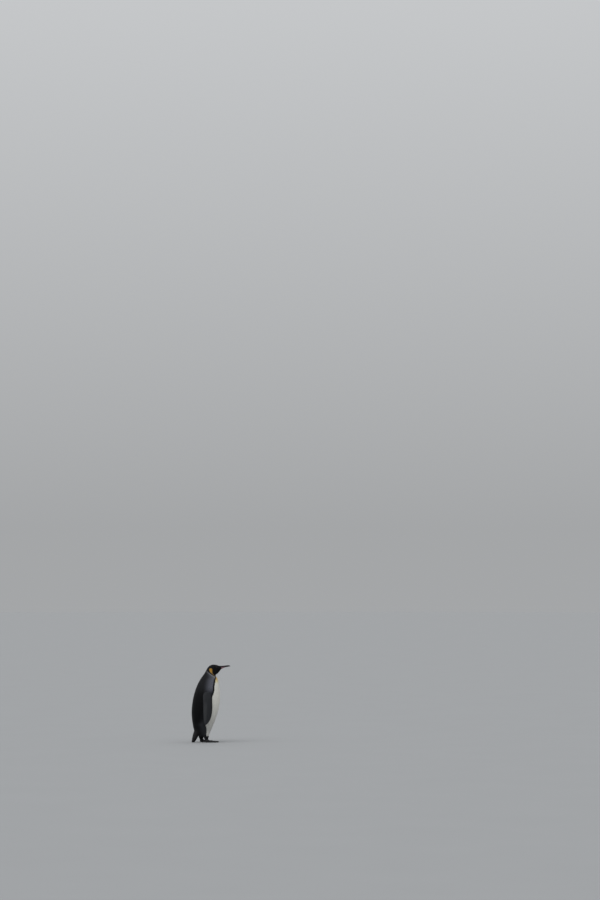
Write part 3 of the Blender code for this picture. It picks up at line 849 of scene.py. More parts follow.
def sink_eye_sockets(obj):
    """Lower the skin towards each eye's rim, and behind the eyeball inside it."""
    mesh = obj.data
    points, ends = coordinates(mesh), edge_ends(mesh)
    opening = settings().skin.opening
    for side in SIDES:
        centre, radius, outward, ahead, upward = eye_axis(side)
        away = points - centre
        depth, along, above = away @ outward, away @ ahead, away @ upward
        span = np.sqrt(along**2 + (above / LID_ROUND) ** 2) / opening
        near = (span < SOCKET_REACH) & (depth > SOCKET_BACK * radius)
        rim = math.sqrt(radius**2 - opening**2)
        bowl = np.where(span < SOCKET_RIM, rim - SOCKET_DEPTH, rim + SOCKET_RISE)
        over = (np.maximum(depth, bowl) - bowl) * ease(span, SOCKET_RIM, SOCKET_FADES)
        lowered = np.minimum(depth, bowl + over)
        points[near] += outward * (lowered - depth)[near, None]
        for axis in range(3):
            smooth = spread_out(points[:, axis], ends, SOCKET_SMOOTHING)
            points[near, axis] = smooth[near]
    put_coordinates(mesh, points)


def lid_ring(side):
    """Rim of the two lids: an almond ring that lies on the eyeball."""
    centre, radius, outward, ahead, upward = eye_axis(side)
    skin = settings().skin
    ring = new_primitive(
        bpy.ops.mesh.primitive_torus_add, major_segments=96, minor_segments=16, major_radius=skin.opening,
        minor_radius=skin.lid,
    )
    points = coordinates(ring.data)
    turn = np.arctan2(points[:, 1], points[:, 0])
    from_middle = np.hypot(points[:, 0], points[:, 1])
    corner = 1 + LID_CORNER * np.abs(np.cos(turn)) ** LID_CORNER_POWER
    flat = [from_middle * np.cos(turn) * corner, from_middle * np.sin(turn) * LID_ROUND]
    flat = np.stack(flat, axis=1)
    reach = np.minimum((flat**2).sum(1), (radius * LID_REACH) ** 2)
    ball = np.sqrt(radius**2 - reach)
    wrinkle = sum(tall * np.sin(turn * count + start) for tall, count, start in LID_WRINKLES)
    rise = points[:, 2] * LID_SWELL + wrinkle + LID_RISE
    points = centre + flat[:, :1] * ahead + flat[:, 1:] * upward + (ball + rise)[:, None] * outward
    put_coordinates(ring.data, points)
    recalculate(ring)
    return ring


def recalculate(obj):
    """Make a closed mesh's faces point outwards."""
    with editing(obj):
        bpy.ops.mesh.normals_make_consistent(inside=False)


@functools.lru_cache(maxsize=None)
def ankle(side):
    """Middle of the foot's upper end."""
    points = coordinates(frame["nodes"]["foot_" + side].data)
    return points[points[:, 2] > points[:, 2].max() - ANKLE_TOP].mean(0)


def fuller_toes(points):
    """Places of a foot with its toes a little thicker than their solids."""
    raised = points.copy()
    raised[:, 2] *= 1 + TOE_FULLNESS * ease(points[:, 2], *TOE_HEIGHTS)
    return raised


def fit_ankle(obj, side):
    """Run a foot's upper end a little way up inside the feathered shank."""
    points = coordinates(obj.data)
    centre = ankle(side)
    up = ease(points[:, 2], centre[2] - ANKLE_RISE, centre[2])[:, None]
    points[:, :2] -= (points[:, :2] - centre[:2]) * ANKLE_NARROWS * up
    points[:, 2:] += ANKLE_RISE * up
    put_coordinates(obj.data, points)


def paint(obj):
    """Store the markings at the skin's vertices, and where the skin is bare."""
    mesh = obj.data
    points, normals, part = coordinates(mesh), vertex_normals(mesh), get_attribute(mesh, "part")
    hues = np.zeros((len(points), 3))
    for number, name in enumerate(PARTS):
        here = part == number
        if here.any():
            hues[here] = markings(points[here], normals[here], name)
    bare = np.maximum(part >= part_number("foot_left"), ease(to_nearest_eye(points), *BARE_ROUND_EYE))
    # painted shade: the skin's colours are darkened as under the coat, bare parts too
    put_attribute(mesh, "markings", hues * SKIN_PAINTED_SHADE, "FLOAT_COLOR")
    put_attribute(mesh, "bare", bare)


class PENGUIN_OT_skin(bpy.types.Operator):
    """Make the one skin that all feathers grow from"""

    bl_idname = "penguin.skin"
    bl_label = "Skin"

    def execute(self, context):
        sizes = settings().skin
        growths = dict.fromkeys(BODY_NODES, OVERLAP)
        growths.update(flipper_left=FLIPPER_GROWTH, flipper_right=FLIPPER_GROWTH)
        growths.update(bill_upper=BILL_ROOT_GROWTH, bill_lower=BILL_ROOT_GROWTH)
        body = joined_copies(growths, "skin")
        remeshed(body, sizes.voxel, BODY_SMOOTHING)
        name_parts(body)
        refine_face(body)
        sink_under_coat(body)
        sink_eye_sockets(body)
        pieces = [body]
        for side in SIDES:
            foot = joined_copies({"foot_" + side: 0}, "foot_skin_" + side)
            remeshed(foot, sizes.foot_voxel, FOOT_SMOOTHING)
            put_part(foot.data, "foot_" + side)
            put_coordinates(foot.data, fuller_toes(coordinates(foot.data)))
            fit_ankle(foot, side)
            lid = lid_ring(side)
            put_part(lid.data, "face")
            pieces += [foot, lid]
        select_only(*pieces)
        bpy.ops.object.join()
        body.data.shade_smooth()
        paint(body)
        place_in_model(body, *BODY_NODES, *FOOT_NODES, slot="feathers_black", material=skin_finish())
        return {"FINISHED"}


# ---------------------------------------------------------------- feathers

PATCH = 0.003  # size of each feather's patch on the unwrap
MARGIN = 0.01  # clear border of the unwrap
LONG_VANE = ((0.34, 0.8), (0.64, 1.0), (0.88, 0.68))  # shares of a feather's length, and of its width there
SHORT_VANE = ((0.45, 1.0), (0.82, 0.76))
# Pieces of the coat: the part of the skin, the vane's stations, a seed and the slot. A part's first word
# is the settings' group with its feathers' sizes.
COATS = {
    "coat_face": ("face", SHORT_VANE, 11, "feathers_black"),
    "coat_head": ("head", LONG_VANE, 12, "feathers_black"),
    "coat_neck": ("neck", LONG_VANE, 13, "feathers_slate"),
    "coat_mantle": ("trunk", LONG_VANE, 14, "feathers_grey"),
    "coat_back": ("trunk", LONG_VANE, 15, "feathers_slate"),
    "coat_breast": ("trunk", LONG_VANE, 16, "feathers_white"),
    "coat_belly": ("trunk", LONG_VANE, 17, "feathers_white"),
    "coat_tail": ("tail", LONG_VANE, 18, "feathers_black"),
    "coat_flipper_left": ("flipper_left", SHORT_VANE, 19, "feathers_slate"),
    "coat_flipper_right": ("flipper_right", SHORT_VANE, 20, "feathers_slate"),
    "coat_leg_left": ("leg_left", SHORT_VANE, 21, "feathers_slate"),
    "coat_leg_right": ("leg_right", SHORT_VANE, 22, "feathers_slate"),
}
# How a part's feathers change in size: (height on the spine, size) from one end to the other.
GRADES = {
    "trunk": ((60, 0.85), (200, 1.0), (480, 1.0), (625, 0.72)),
    "neck": ((612, 1.12), (700, 0.8)),
    "head": ((690, 1.2), (740, 0.8)),
}
FACE_GRADE = ((128, 1.0), (150, 0.7))  # (forward, size) on the face
TAIL_COVERTS_FROM = 0.064  # height above which the tail's root is covered by coverts
MANTLE_FROM, BREAST_FROM = 345, 320  # heights where the trunk's coat is parted, behind and in front
FEATHERING_SLACK = 0.4  # the face's feathers may start this far past the feathering's edge
CROWDING = 6  # feathers tried for each square of their spacing before the close ones are dropped
VANE_CREASE, SCALE_CREASE = math.radians(55), math.radians(70)  # sharper edges than this stay sharp
UNWRAP_REACH, UNWRAP_SPREAD = 5, 0.05  # fine places to either side, and a spread by forward places
FLIPPER_FACE, OTHER_FACE_AT = 0.48, 0.5  # size of a flipper's face on the map, and where its outer one is
EYE_CLEARANCE = 0.0008  # between the opening of the lids and the nearest feathers
SIZE_SPREAD, LIE_SPREAD, DEPTH_SPREAD = (0.86, 1.14), 0.08, (0.9, 1.06)  # differences between feathers
TONE_SPREAD, GREY_SPREAD, GREYS = 0.03, 0.13, (0.5, 0.1)  # in brightness, and more of it on dark feathers
FRINGE, FRINGE_FROM, FRINGE_TO = 0.45, (0.02, 0.08), (0.4, 0.2)  # paler tips, on feathers of middling tone
ROOT_PAINTED_SHADE, ROOT_DARK, PALE_ROOTS = 0.06, 0.3, (0.5, 0.2)  # how much darker roots are: painted shade at every root where the feathers overlap, and more so on grey, their real darker base
ROOT_SHADE = ((0, 0.5, 0.85), (1, 0.3, 0))  # shares of the length, and of the shade there
VANE_RISES, VANE_START, TIP_TUCK = (-0.15, 0.85), 0.1, 0.88  # how a feather rises from the skin
ROOT_SINK = 0.0006


@functools.lru_cache(maxsize=None)
def even_spread():
    """Geometry node group that turns a surface into evenly spread points, as loose vertices."""
    group = bpy.data.node_groups.new("even_spread", "GeometryNodeTree")
    group.interface.new_socket("Geometry", in_out="INPUT", socket_type="NodeSocketGeometry")
    group.interface.new_socket("Geometry", in_out="OUTPUT", socket_type="NodeSocketGeometry")
    start, end = group.nodes.new("NodeGroupInput"), group.nodes.new("NodeGroupOutput")
    spread = group.nodes.new("GeometryNodeDistributePointsOnFaces")
    spread.name = "spread"
    spread.distribute_method = "POISSON"
    points = group.nodes.new("GeometryNodePointsToVertices")
    group.links.new(start.outputs[0], spread.inputs["Mesh"])
    group.links.new(spread.outputs["Points"], points.inputs["Points"])
    group.links.new(points.outputs[0], end.inputs[0])
    return group


def scatter(obj, chosen, spacing, seed):
    """Evenly spread places on the chosen faces of an object."""
    patch = obj.copy()
    patch.data = obj.data.copy()
    bpy.context.scene.collection.objects.link(patch)
    delete_parts(patch, ~chosen, "FACES")
    spread = even_spread().nodes["spread"]
    spread.inputs["Distance Min"].default_value = spacing
    spread.inputs["Density Max"].default_value = CROWDING / spacing**2
    spread.inputs["Seed"].default_value = seed
    apply_modifier(patch, "NODES", node_group=even_spread())
    roots = coordinates(patch.data)
    bpy.data.objects.remove(patch)
    return roots


def face_parts(mesh):
    """Part number of each face of the skin."""
    first, corner = numbers_of(mesh.polygons, "loop_start"), numbers_of(mesh.loops, "vertex_index")
    return get_attribute(mesh, "part")[corner[first]]


def faces_under(name):
    """Which faces of the skin one piece of the coat covers."""
    mesh, part = bpy.data.objects["skin"].data, COATS[name][0]
    chosen = face_parts(mesh) == part_number(part)
    places = face_centres(mesh)
    if part == "tail":
        chosen &= places[:, 2] > TAIL_COVERTS_FROM
    if part == "face":
        chosen &= past_feathering(places) < FEATHERING_SLACK
    if part == "trunk":
        forward, _, height, _ = bird(places)
        front = forward > table_at(BAND, height, 1)
        upper = height > np.where(front, BREAST_FROM, MANTLE_FROM)
        chosen &= front == (name in ("coat_breast", "coat_belly"))
        chosen &= upper == (name in ("coat_breast", "coat_mantle"))
    return chosen


def vane_mesh(name, root, rings, tip, hues, rootmap):
    """Mesh of closed feather vanes.

    root and tip are arrays of points. A ring is (left edge, shaft, right edge, share of the length). hues
    holds a colour for each feather and each of its stations; rootmap is each feather's place on the unwrap.
    """
    count, stations = len(root), len(rings)
    stride = 2 + 3 * stations
    last = stride - 1
    places = [root]
    for left, shaft, right, _ in rings:
        places += [left, shaft, right]
    points = np.stack(places + [tip], axis=1).reshape(-1, 3)
    polygons = [(0, 3, 2), (0, 2, 1), (0, 1, 3)]
    for k in range(stations - 1):
        a, b = 1 + 3 * k, 4 + 3 * k
        polygons += [(a + 2, b + 2, b + 1, a + 1), (a + 1, b + 1, b, a), (a, b, b + 2, a + 2)]
    a = 1 + 3 * (stations - 1)
    polygons += [(a + 2, last, a + 1), (a + 1, last, a), (a, last, a + 2)]
    mesh, corner = mesh_of_copies(name, points, polygons, stride)
    along = np.array([0.0] + [share for *_, share in rings for _ in range(3)] + [1.0])
    across = np.array([0.0] + [-1.0, 0.0, 1.0] * stations + [0.0])
    station = np.array([0] + [k + 1 for k in range(stations) for _ in range(3)] + [stations + 1])
    put_attribute(mesh, "along", np.tile(along, count))
    put_attribute(mesh, "across", np.tile(across, count))
    put_attribute(mesh, "markings", hues[:, station].reshape(-1, 3), "FLOAT_COLOR")
    put_patches(mesh, corner, rootmap, across, along)
    mesh.shade_smooth()
    mesh.set_sharp_from_angle(angle=VANE_CREASE)
    return mesh


def mesh_of_copies(name, points, polygons, stride):
    """Mesh of many copies of a few polygons, each on its own run of points. Returns it and its corners."""
    count = len(points) // stride
    loops = np.array([i for p in polygons for i in p])
    sizes = np.array([len(p) for p in polygons])
    corner = (np.arange(count)[:, None] * stride + loops).ravel()
    starts = np.concatenate([[0], np.cumsum(np.tile(sizes, count))[:-1]])
    mesh = bpy.data.meshes.new(name)
    mesh.vertices.add(len(points))
    mesh.vertices.foreach_set("co", points.astype(np.float32).ravel())
    mesh.loops.add(len(corner))
    mesh.loops.foreach_set("vertex_index", corner.astype(np.int32))
    mesh.polygons.add(len(starts))
    mesh.polygons.foreach_set("loop_start", starts.astype(np.int32))
    mesh.update(calc_edges=True)
    return mesh, corner


def put_patches(mesh, corner, rootmap, across, along):
    """Give each copy a small patch of the OFBake map at its root's place on the unwrap."""
    patch = np.stack([across * 0.5, along - 0.5], axis=1) * PATCH
    places = (rootmap[:, None, :] + patch[None]).reshape(-1, 2)
    layer = mesh.uv_layers.new(name="OFBake")
    layer.data.foreach_set("uv", places[corner].astype(np.float32).ravel())


def fitted(flat):
    """Flat places stretched to fill the map inside its margin."""
    low, high = flat.min(0), flat.max(0)
    return MARGIN + (flat - low) / np.maximum(high - low, 1e-9) * (1 - 2 * MARGIN)


def unwrap(points, normals, part):
    """Places on an unwrap of the skin's own shape: round it against along it, spread over the whole map."""
    if part.startswith("flipper"):
        outer = normals[:, 0] * points[:, 0] > 0
        flat = fitted(points[:, 1:])
        flat[:, 0] = MARGIN + (flat[:, 0] - MARGIN) * FLIPPER_FACE + OTHER_FACE_AT * outer
        return flat
    if part.startswith(("leg", "foot")):
        away = points - ankle(part.split("_")[1])
        return fitted(np.stack([np.arctan2(away[:, 0], -away[:, 1]), points[:, 2]], axis=1))
    forward, lateral, height, place = bird(points)
    spine, ahead = fine_spine()[place], unit(spine_ahead(place, UNWRAP_REACH))
    out = (forward - spine[:, 0]) * ahead[:, 1] - (height - spine[:, 1]) * ahead[:, 0]
    facing = 1 if np.median(out) > 0 else -1
    return fitted(np.stack([np.arctan2(lateral, out * facing), place + UNWRAP_SPREAD * forward], axis=1))


def clear_of_eyes(roots, ends):
    """Which feathers stay off the eyes."""
    kept = np.ones(len(roots), bool)
    reach = settings().skin.opening + EYE_CLEARANCE
    for side in SIDES:
        centre, _, outward, ahead, upward = eye_axis(side)
        for share in (0, 0.5, 1):
            away = roots + (ends - roots) * share - centre
            flat = np.sqrt((away @ ahead) ** 2 + (away @ upward / LID_ROUND) ** 2)
            kept &= (flat > reach) | (away @ outward < 0)
    return kept


def feather_hues(hue, shares, rng):
    """Colours down each feather: dark at the root, with a pale fringe on the grey ones."""
    bright = hue.mean(1)
    spread = TONE_SPREAD + GREY_SPREAD * ease(bright, *GREYS)
    hue = hue * (1 + rng.uniform(-1, 1, len(hue)) * spread)[:, None]
    fringe = 1 + FRINGE * ease(bright, *FRINGE_FROM) * ease(bright, *FRINGE_TO)
    dark = ROOT_DARK * ease(bright, *PALE_ROOTS)
    # painted shade at every root, with the real darker base of grey feathers added to it
    tones = [1 - np.interp(share, *ROOT_SHADE) * (ROOT_PAINTED_SHADE + dark) for share in shares]
    tones[-1] = tones[-1] * fringe
    return np.clip(np.stack([hue * tone[:, None] for tone in tones], axis=1), 0, 1)


def size_grade(group, roots):
    """Size of feathers by their place in the coat."""
    forward, _, _, place = bird(roots)
    if group == "face":
        return table_at(FACE_GRADE, forward, 1)
    if group in GRADES:
        return table_at(GRADES[group], fine_spine()[place, 1], 1)
    return np.ones(len(roots))


def lay_feathers(name):
    """Cover a part of the skin with vanes that lie along the coat. Returns the new object."""
    part, stations, seed, _ = COATS[name]
    group = part.split("_")[0]
    sizes, under = getattr(settings(), group), surface(group)
    rng = np.random.default_rng(seed)
    roots = scatter(bpy.data.objects["skin"], faces_under(name), sizes.spacing, seed)
    roots, normals = under.nearest(roots)
    scale = rng.uniform(*SIZE_SPREAD, len(roots)) * size_grade(group, roots)
    lie = lie_of_coat(roots, normals, group)
    lie = unit(lie + np.cross(normals, lie) * rng.normal(0, LIE_SPREAD, len(roots))[:, None])
    if group in ("face", "head"):
        kept = clear_of_eyes(roots, roots + lie * (sizes.vane * scale)[:, None])
        roots, normals, lie, scale = roots[kept], normals[kept], lie[kept], scale[kept]
    top = sizes.depth * np.minimum(scale, 1) * rng.uniform(*DEPTH_SPREAD, len(roots))
    rings = []
    for share, wide in stations + ((1.0, 0),):
        place, up = under.nearest(roots + lie * (sizes.vane * scale * share)[:, None])
        rise = VANE_START + (1 - VANE_START) * ease(share, *VANE_RISES)
        lifted = place + up * (top * rise * (1 if wide else TIP_TUCK))[:, None]
        across = np.cross(unit(lie - up * (lie * up).sum(1, keepdims=True)), up)
        out = across * (sizes.width / 2 * wide * scale)[:, None]
        droop = up * (sizes.ridge * wide * scale)[:, None]
        rings.append((lifted - out - droop, lifted, lifted + out - droop, share))
    tip = rings.pop()[1]
    hues = feather_hues(markings(place, up, part), (0,) + tuple(s for s, _ in stations) + (1,), rng)
    flat = unwrap(roots, normals, part)
    return new_object(vane_mesh(name, roots - normals * ROOT_SINK, rings, tip, hues, flat))


class PENGUIN_OT_coat(bpy.types.Operator):
    """Lay the feathers of face, head, neck, trunk, tail, flippers and legs over the skin"""

    bl_idname = "penguin.coat"
    bl_label = "Coat"

    def execute(self, context):
        finish = feather_finish("plumage")
        for name, (*_, slot) in COATS.items():
            place_in_model(lay_feathers(name), slot=slot, material=finish)
        return {"FINISHED"}


# ---------------------------------------------------------------- tail feathers

TAIL_FEATHERS = 18
TAIL_HEIGHTS = (0.092, 0.078, 0.064, 0.05, 0.037, 0.025, 0.014, 0.006)  # where a tail feather is measured
TAIL_FEATHER_WIDTH = 0.0105
TAIL_FEATHER_RIDGE = 0.0011
TAIL_TURN_SPREAD = 0.03
TAIL_LAYER = 0.0008  # how much deeper every other feather lies than its neighbours
TAIL_ENDS, REAR_ENDS_LOWER = (0.0006, 0.007), 0.3  # heights of the feathers' ends, lower behind
TAIL_REAR = 0.5  # how far backwards a feather lies, for 1 in the middle, that counts as behind
TAIL_SLICE = 0.009  # half height of the slice of the solid that is measured
TAIL_LEAST_SLICE, TAIL_LEAST_RAY = 0.004, 0.0008  # no measure is taken lower than this
TAIL_LENGTH_SHARE = 0.94  # where on the feather its last station lies
TAIL_WIDENS, TAIL_NARROWS, TAIL_END_SHARES = (0.18, 0.5), 0.55, (0.82, 1.0)
TAIL_ROOT_UP, TAIL_ROOT_IN = (0, 0, 0.008), 0.004


def tail_section(height):
    """Middle and half sizes of the tail's solid at a height."""
    points = coordinates(frame["nodes"]["tail"].data)
    near = points[np.abs(points[:, 2] - height) < TAIL_SLICE]
    low, high = near.min(0), near.max(0)
    return (low + high) / 2, (high - low) / 2


def on_tail(tree, turn, sink, z):
    """Place a little inside the tail's surface at a turn and a height, and the way outwards there."""
    centre, half = tail_section(max(z, TAIL_LEAST_SLICE))
    outward = np.array((math.sin(turn) * half[0], math.cos(turn) * half[1], 0))
    outward /= np.linalg.norm(outward)
    start = np.array((centre[0], centre[1], max(z, TAIL_LEAST_RAY)))
    hit = tree.ray_cast(Vector(start), Vector(outward))[0]
    reach = np.linalg.norm(np.array(hit) - start) if hit else half[0]
    return (start + outward * (reach - sink)) * (1, 1, 0) + (0, 0, z), outward


def tail_feathers():
    """Long stiff feathers laid side by side round the tail, down to the floor. Returns the new object."""
    rng = np.random.default_rng(31)
    solid = frame["nodes"]["tail"].data
    tree = BVHTree.FromPolygons(
        [tuple(v.co) for v in solid.vertices], [tuple(p.vertices) for p in solid.polygons]
    )
    turns = (np.arange(TAIL_FEATHERS) + 0.5) / TAIL_FEATHERS * 2 * math.pi
    turns = turns + rng.normal(0, TAIL_TURN_SPREAD, TAIL_FEATHERS)
    under = np.arange(TAIL_FEATHERS) % 2 * TAIL_LAYER + TAIL_LAYER
    lowest = rng.uniform(*TAIL_ENDS, TAIL_FEATHERS)
    lowest[np.cos(turns) > TAIL_REAR] *= REAR_ENDS_LOWER
    shafts, outs = [], []
    for height in TAIL_HEIGHTS + (0,):
        level = height + lowest * (1 - height / TAIL_HEIGHTS[0])
        row, away = zip(*[on_tail(tree, *feather) for feather in zip(turns, under, level)])
        shafts.append(np.array(row))
        outs.append(np.array(away))
    shares = 1 - (np.array(TAIL_HEIGHTS) / TAIL_HEIGHTS[0]) * TAIL_LENGTH_SHARE
    rings = []
    for k, share in enumerate(shares):
        wide = math.sin(math.pi * min(0.5, TAIL_WIDENS[0] + share * TAIL_WIDENS[1]))
        wide = wide * (1 - TAIL_NARROWS * ease(share, *TAIL_END_SHARES))
        across = np.cross(outs[k], (0, 0, 1.0)) * -TAIL_FEATHER_WIDTH / 2 * wide
        droop = outs[k] * TAIL_FEATHER_RIDGE
        rings.append((shafts[k] - across - droop, shafts[k], shafts[k] + across - droop, share))
    roots = shafts[0] + TAIL_ROOT_UP - outs[0] * TAIL_ROOT_IN
    hue = np.tile(np.array(settings().colours.tail), (TAIL_FEATHERS, 1))
    hues = feather_hues(hue, (0,) + tuple(shares) + (1,), rng)
    flat = fitted(np.stack([turns, roots[:, 2] + MM * turns], axis=1))
    return new_object(vane_mesh("tail_feathers", roots, rings, shafts[-1], hues, flat))


class PENGUIN_OT_tail(bpy.types.Operator):
    """Lay the long stiff feathers of the tail"""

    bl_idname = "penguin.tail"
    bl_label = "Tail feathers"

    def execute(self, context):
        place_in_model(tail_feathers(), slot="feathers_black", material=feather_finish("tail_plumage"))
        return {"FINISHED"}


# ---------------------------------------------------------------- bill, eyes, feet and claws

BILL_LET_IN, BILL_BASE = 0.003, (14, 2)  # how far the bill's base runs back into the head
BILL_FULLNESS = 0.0009  # how much deeper each half of the bill is towards its tip
BILL_FULL_FROM, BILL_FULL_TO = (40, 70), (0, 8)  # from the base, and back from the tip
BILL_STEP, BILL_SLICE = 4.0, 3  # spacing and half depth of the slices that give the bill's edges
LEAST_DEPTH = 0.1  # no slice counts as shallower than this
MOUTH_OVERLAP, MOUTH_RISES = 0.0018, (0.55, 0.95)
SIDE_FACING = (0.3, 0.7)  # how much of a side the bill's surface is
GROOVE_AT, GROOVE_DROPS = 0.56, 0.1  # height of the groove between the mouth line and the ridge
GROOVE_DEPTH, GROOVE_HALF, GROOVE_ENDS = 0.0006, 0.12, (0.72, 0.45)
NOSTRIL_DEPTH, NOSTRIL_HALF, NOSTRIL_ENDS = 0.0009, 0.06, ((0.15, 0.19), (0.3, 0.25))
PLATE_SINK, PLATE_ROUNDS_FROM, PLATE_ROUNDS_OVER, PLATE_EDGE = 0.0017, 0.45, 0.53, (-0.1, 0.05)
CLAW_NARROW = 0.8  # a claw's width, as a share of its cone's
CLAW_FULLNESS, CLAW_FULLEST, CLAW_LEAST = -0.32, 1.6, 0.03  # power and limits of its swelling outwards
CLAW_POINTS = (1.03, 0.84)  # shares of its length between which it comes to its point
CLAW_ENDS = (0.08, 0.97)  # its base is before the first share, its tip past the second
CLAW_ARCH, CLAW_DROP = 0.1, 0.05  # how high it arches and how far its tip drops, as shares of its length
CLAW_LET_IN, CLAW_BASE, CLAW_LONGER, CLAW_FLOOR = 0.0028, (0.25, 0), 0.003, 0.0003
# Low domed plates: how high they are, their number of sides, and how square they are (2 is round).
SCUTE = {"rise": 0.0005, "sides": 12, "squareness": 3.0}
PEBBLE = {"rise": 0.00032, "sides": 6, "squareness": 2.0}
# Width of a plate's rings, and their height: a share of its rise, or in metres where it is below the skin.
PLATE_RINGS = ((1.0, -0.0004), (0.74, 0.8), (0.3, 1.0))
# painted shade: how dark each ring of a plate is drawn, from the sunk rim in the clefts to the top
PLATE_SHADES = (0.5, 0.85, 1.0)
LEAST_WEAR, MORE_WEAR = 0.15, 0.6
SCUTE_STEP, SCUTE_HALF_LONG = 0.0034, 0.56
SCUTE_FROM, SCUTE_TO = 0.024, 0.012  # from the ankle's middle, and back from the claw's
SCUTE_HALF_WIDE, SCUTE_NARROWS, SCUTE_ABOVE = 0.0052, 0.0012, (0, 0, 0.02)
PEBBLE_HALF, PEBBLE_SPACING, PEBBLE_AHEAD = 0.0011, 0.00215, (0.05, -1.0, 0.02)
PEBBLE_FACING, PEBBLE_HEIGHTS = -0.35, (0.0016, 0.04)  # where there are small scales on a foot
TOE_HALF, TOE_SIDE, TOE_SHARES = 0.0047, 0.45, (0.24, 1)  # where the wide plates leave no room for them


def place_up_bill(points):
    """Place of points of one half of the bill from its lower edge, 0, to its upper one, 1."""
    forward, _, height, _ = bird(points)
    levels = np.arange(forward.min(), forward.max(), BILL_STEP)
    near = [np.abs(forward - level) < BILL_SLICE for level in levels]
    low = np.interp(forward, levels, [height[n].min() for n in near])
    high = np.interp(forward, levels, [height[n].max() for n in near])
    return (height - low) / np.maximum(high - low, LEAST_DEPTH)


def bill_half(node, name):
    """One half of the bill, smooth, with its base let into the head."""
    obj = rounded_copy(node, name, levels=3)
    points = coordinates(obj.data)
    forward = bird(points)[0]
    from_base, from_tip = forward - forward.min(), forward.max() - forward
    fuller = BILL_FULLNESS * ease(from_base, *BILL_FULL_FROM) * ease(from_tip, *BILL_FULL_TO)
    points[:, 2] += fuller * (place_up_bill(points) - (0 if node == "bill_upper" else 1))
    points = points - ahead_of_head() * BILL_LET_IN * ease(from_base, *BILL_BASE)[:, None]
    put_coordinates(obj.data, points)
    put_attribute(obj.data, "along", share_along(forward))
    return obj


def close_mouth(obj):
    """Raise the lower bill's upper edge into the upper bill, so that no light shows between them."""
    points = coordinates(obj.data)
    points[:, 2] += MOUTH_OVERLAP * ease(place_up_bill(points), *MOUTH_RISES)
    put_coordinates(obj.data, points)


def cut_groove(obj):
    """Press the long groove and the nostril's slit into both sides of the upper bill."""
    mesh = obj.data
    points, normals = coordinates(mesh), vertex_normals(mesh)
    along = share_along(bird(points)[0])
    off = place_up_bill(points) - (GROOVE_AT - GROOVE_DROPS * along)
    groove = np.exp(-((off / GROOVE_HALF) ** 2)) * ease(along, *GROOVE_ENDS)
    behind, before = NOSTRIL_ENDS
    nostril = np.exp(-((off / NOSTRIL_HALF) ** 2)) * ease(along, *behind) * ease(along, *before)
    pressed = groove * GROOVE_DEPTH + nostril * NOSTRIL_DEPTH
    pressed = pressed * ease(np.abs(normals[:, 0]), *SIDE_FACING)
    put_coordinates(mesh, points - normals * pressed[:, None])


def point_plate(obj, side):
    """Sink the corners of a plate's front end into the bill, so that it runs out in a point."""
    points = coordinates(obj.data)
    along = get_attribute(obj.data, "along", np.float32)
    rounding = np.clip(along - PLATE_ROUNDS_FROM, 0, 1) / PLATE_ROUNDS_OVER
    allowed = 0.5 * np.sqrt(np.clip(1 - rounding**2, 0, 1))
    over = np.abs(place_up_bill(points) - 0.5) - allowed
    across = np.array((math.cos(HEAD_TURN), math.sin(HEAD_TURN), 0)) * SIDES[side]
    put_coordinates(obj.data, points - across * (PLATE_SINK * ease(over, *PLATE_EDGE))[:, None])


class PENGUIN_OT_bill(bpy.types.Operator):
    """Make the two halves of the bill and the coloured plates on the lower one"""

    bl_idname = "penguin.bill"
    bl_label = "Bill"

    def execute(self, context):
        horn = horn_finish("bill_horn")
        upper = bill_half("bill_upper", "upper_bill")
        cut_groove(upper)
        place_in_model(upper, "bill_upper", slot="horn", material=horn)
        lower = bill_half("bill_lower", "lower_bill")
        close_mouth(lower)
        place_in_model(lower, "bill_lower", slot="horn", material=horn)
        plate_look = plate_finish()
        for side in SIDES:
            plate = rounded_copy("bill_plate_" + side, "plate_" + side, levels=3)
            put_attribute(plate.data, "along", share_along(bird(coordinates(plate.data))[0]))
            point_plate(plate, side)
            place_in_model(plate, "bill_plate_" + side, slot="bill_plate", material=plate_look)
        return {"FINISHED"}


class PENGUIN_OT_eyes(bpy.types.Operator):
    """Make the two eyeballs"""

    bl_idname = "penguin.eyes"
    bl_label = "Eyes"

    def execute(self, context):
        look = eye_finish()
        for side in SIDES:
            centre, radius, outward, *_ = eye_axis(side)
            ball = new_primitive(
                bpy.ops.mesh.primitive_uv_sphere_add, segments=64, ring_count=48, radius=radius
            )
            ball.name = ball.data.name = "eyeball_" + side
            turn = Vector((0, 0, 1)).rotation_difference(Vector(outward)).to_matrix()
            points = coordinates(ball.data) @ np.array(turn).T
            put_coordinates(ball.data, points + centre)
            off_axis = np.degrees(np.arccos(np.clip(points @ outward / radius, -1, 1)))
            put_attribute(ball.data, "off_axis", off_axis)
            ball.data.shade_smooth()
            place_in_model(ball, "eye_" + side, slot="eye", material=look)
        return {"FINISHED"}


def ring_turns(sides):
    """Angles of a plate's corners."""
    return (np.arange(sides) + 0.5) / sides * 2 * math.pi


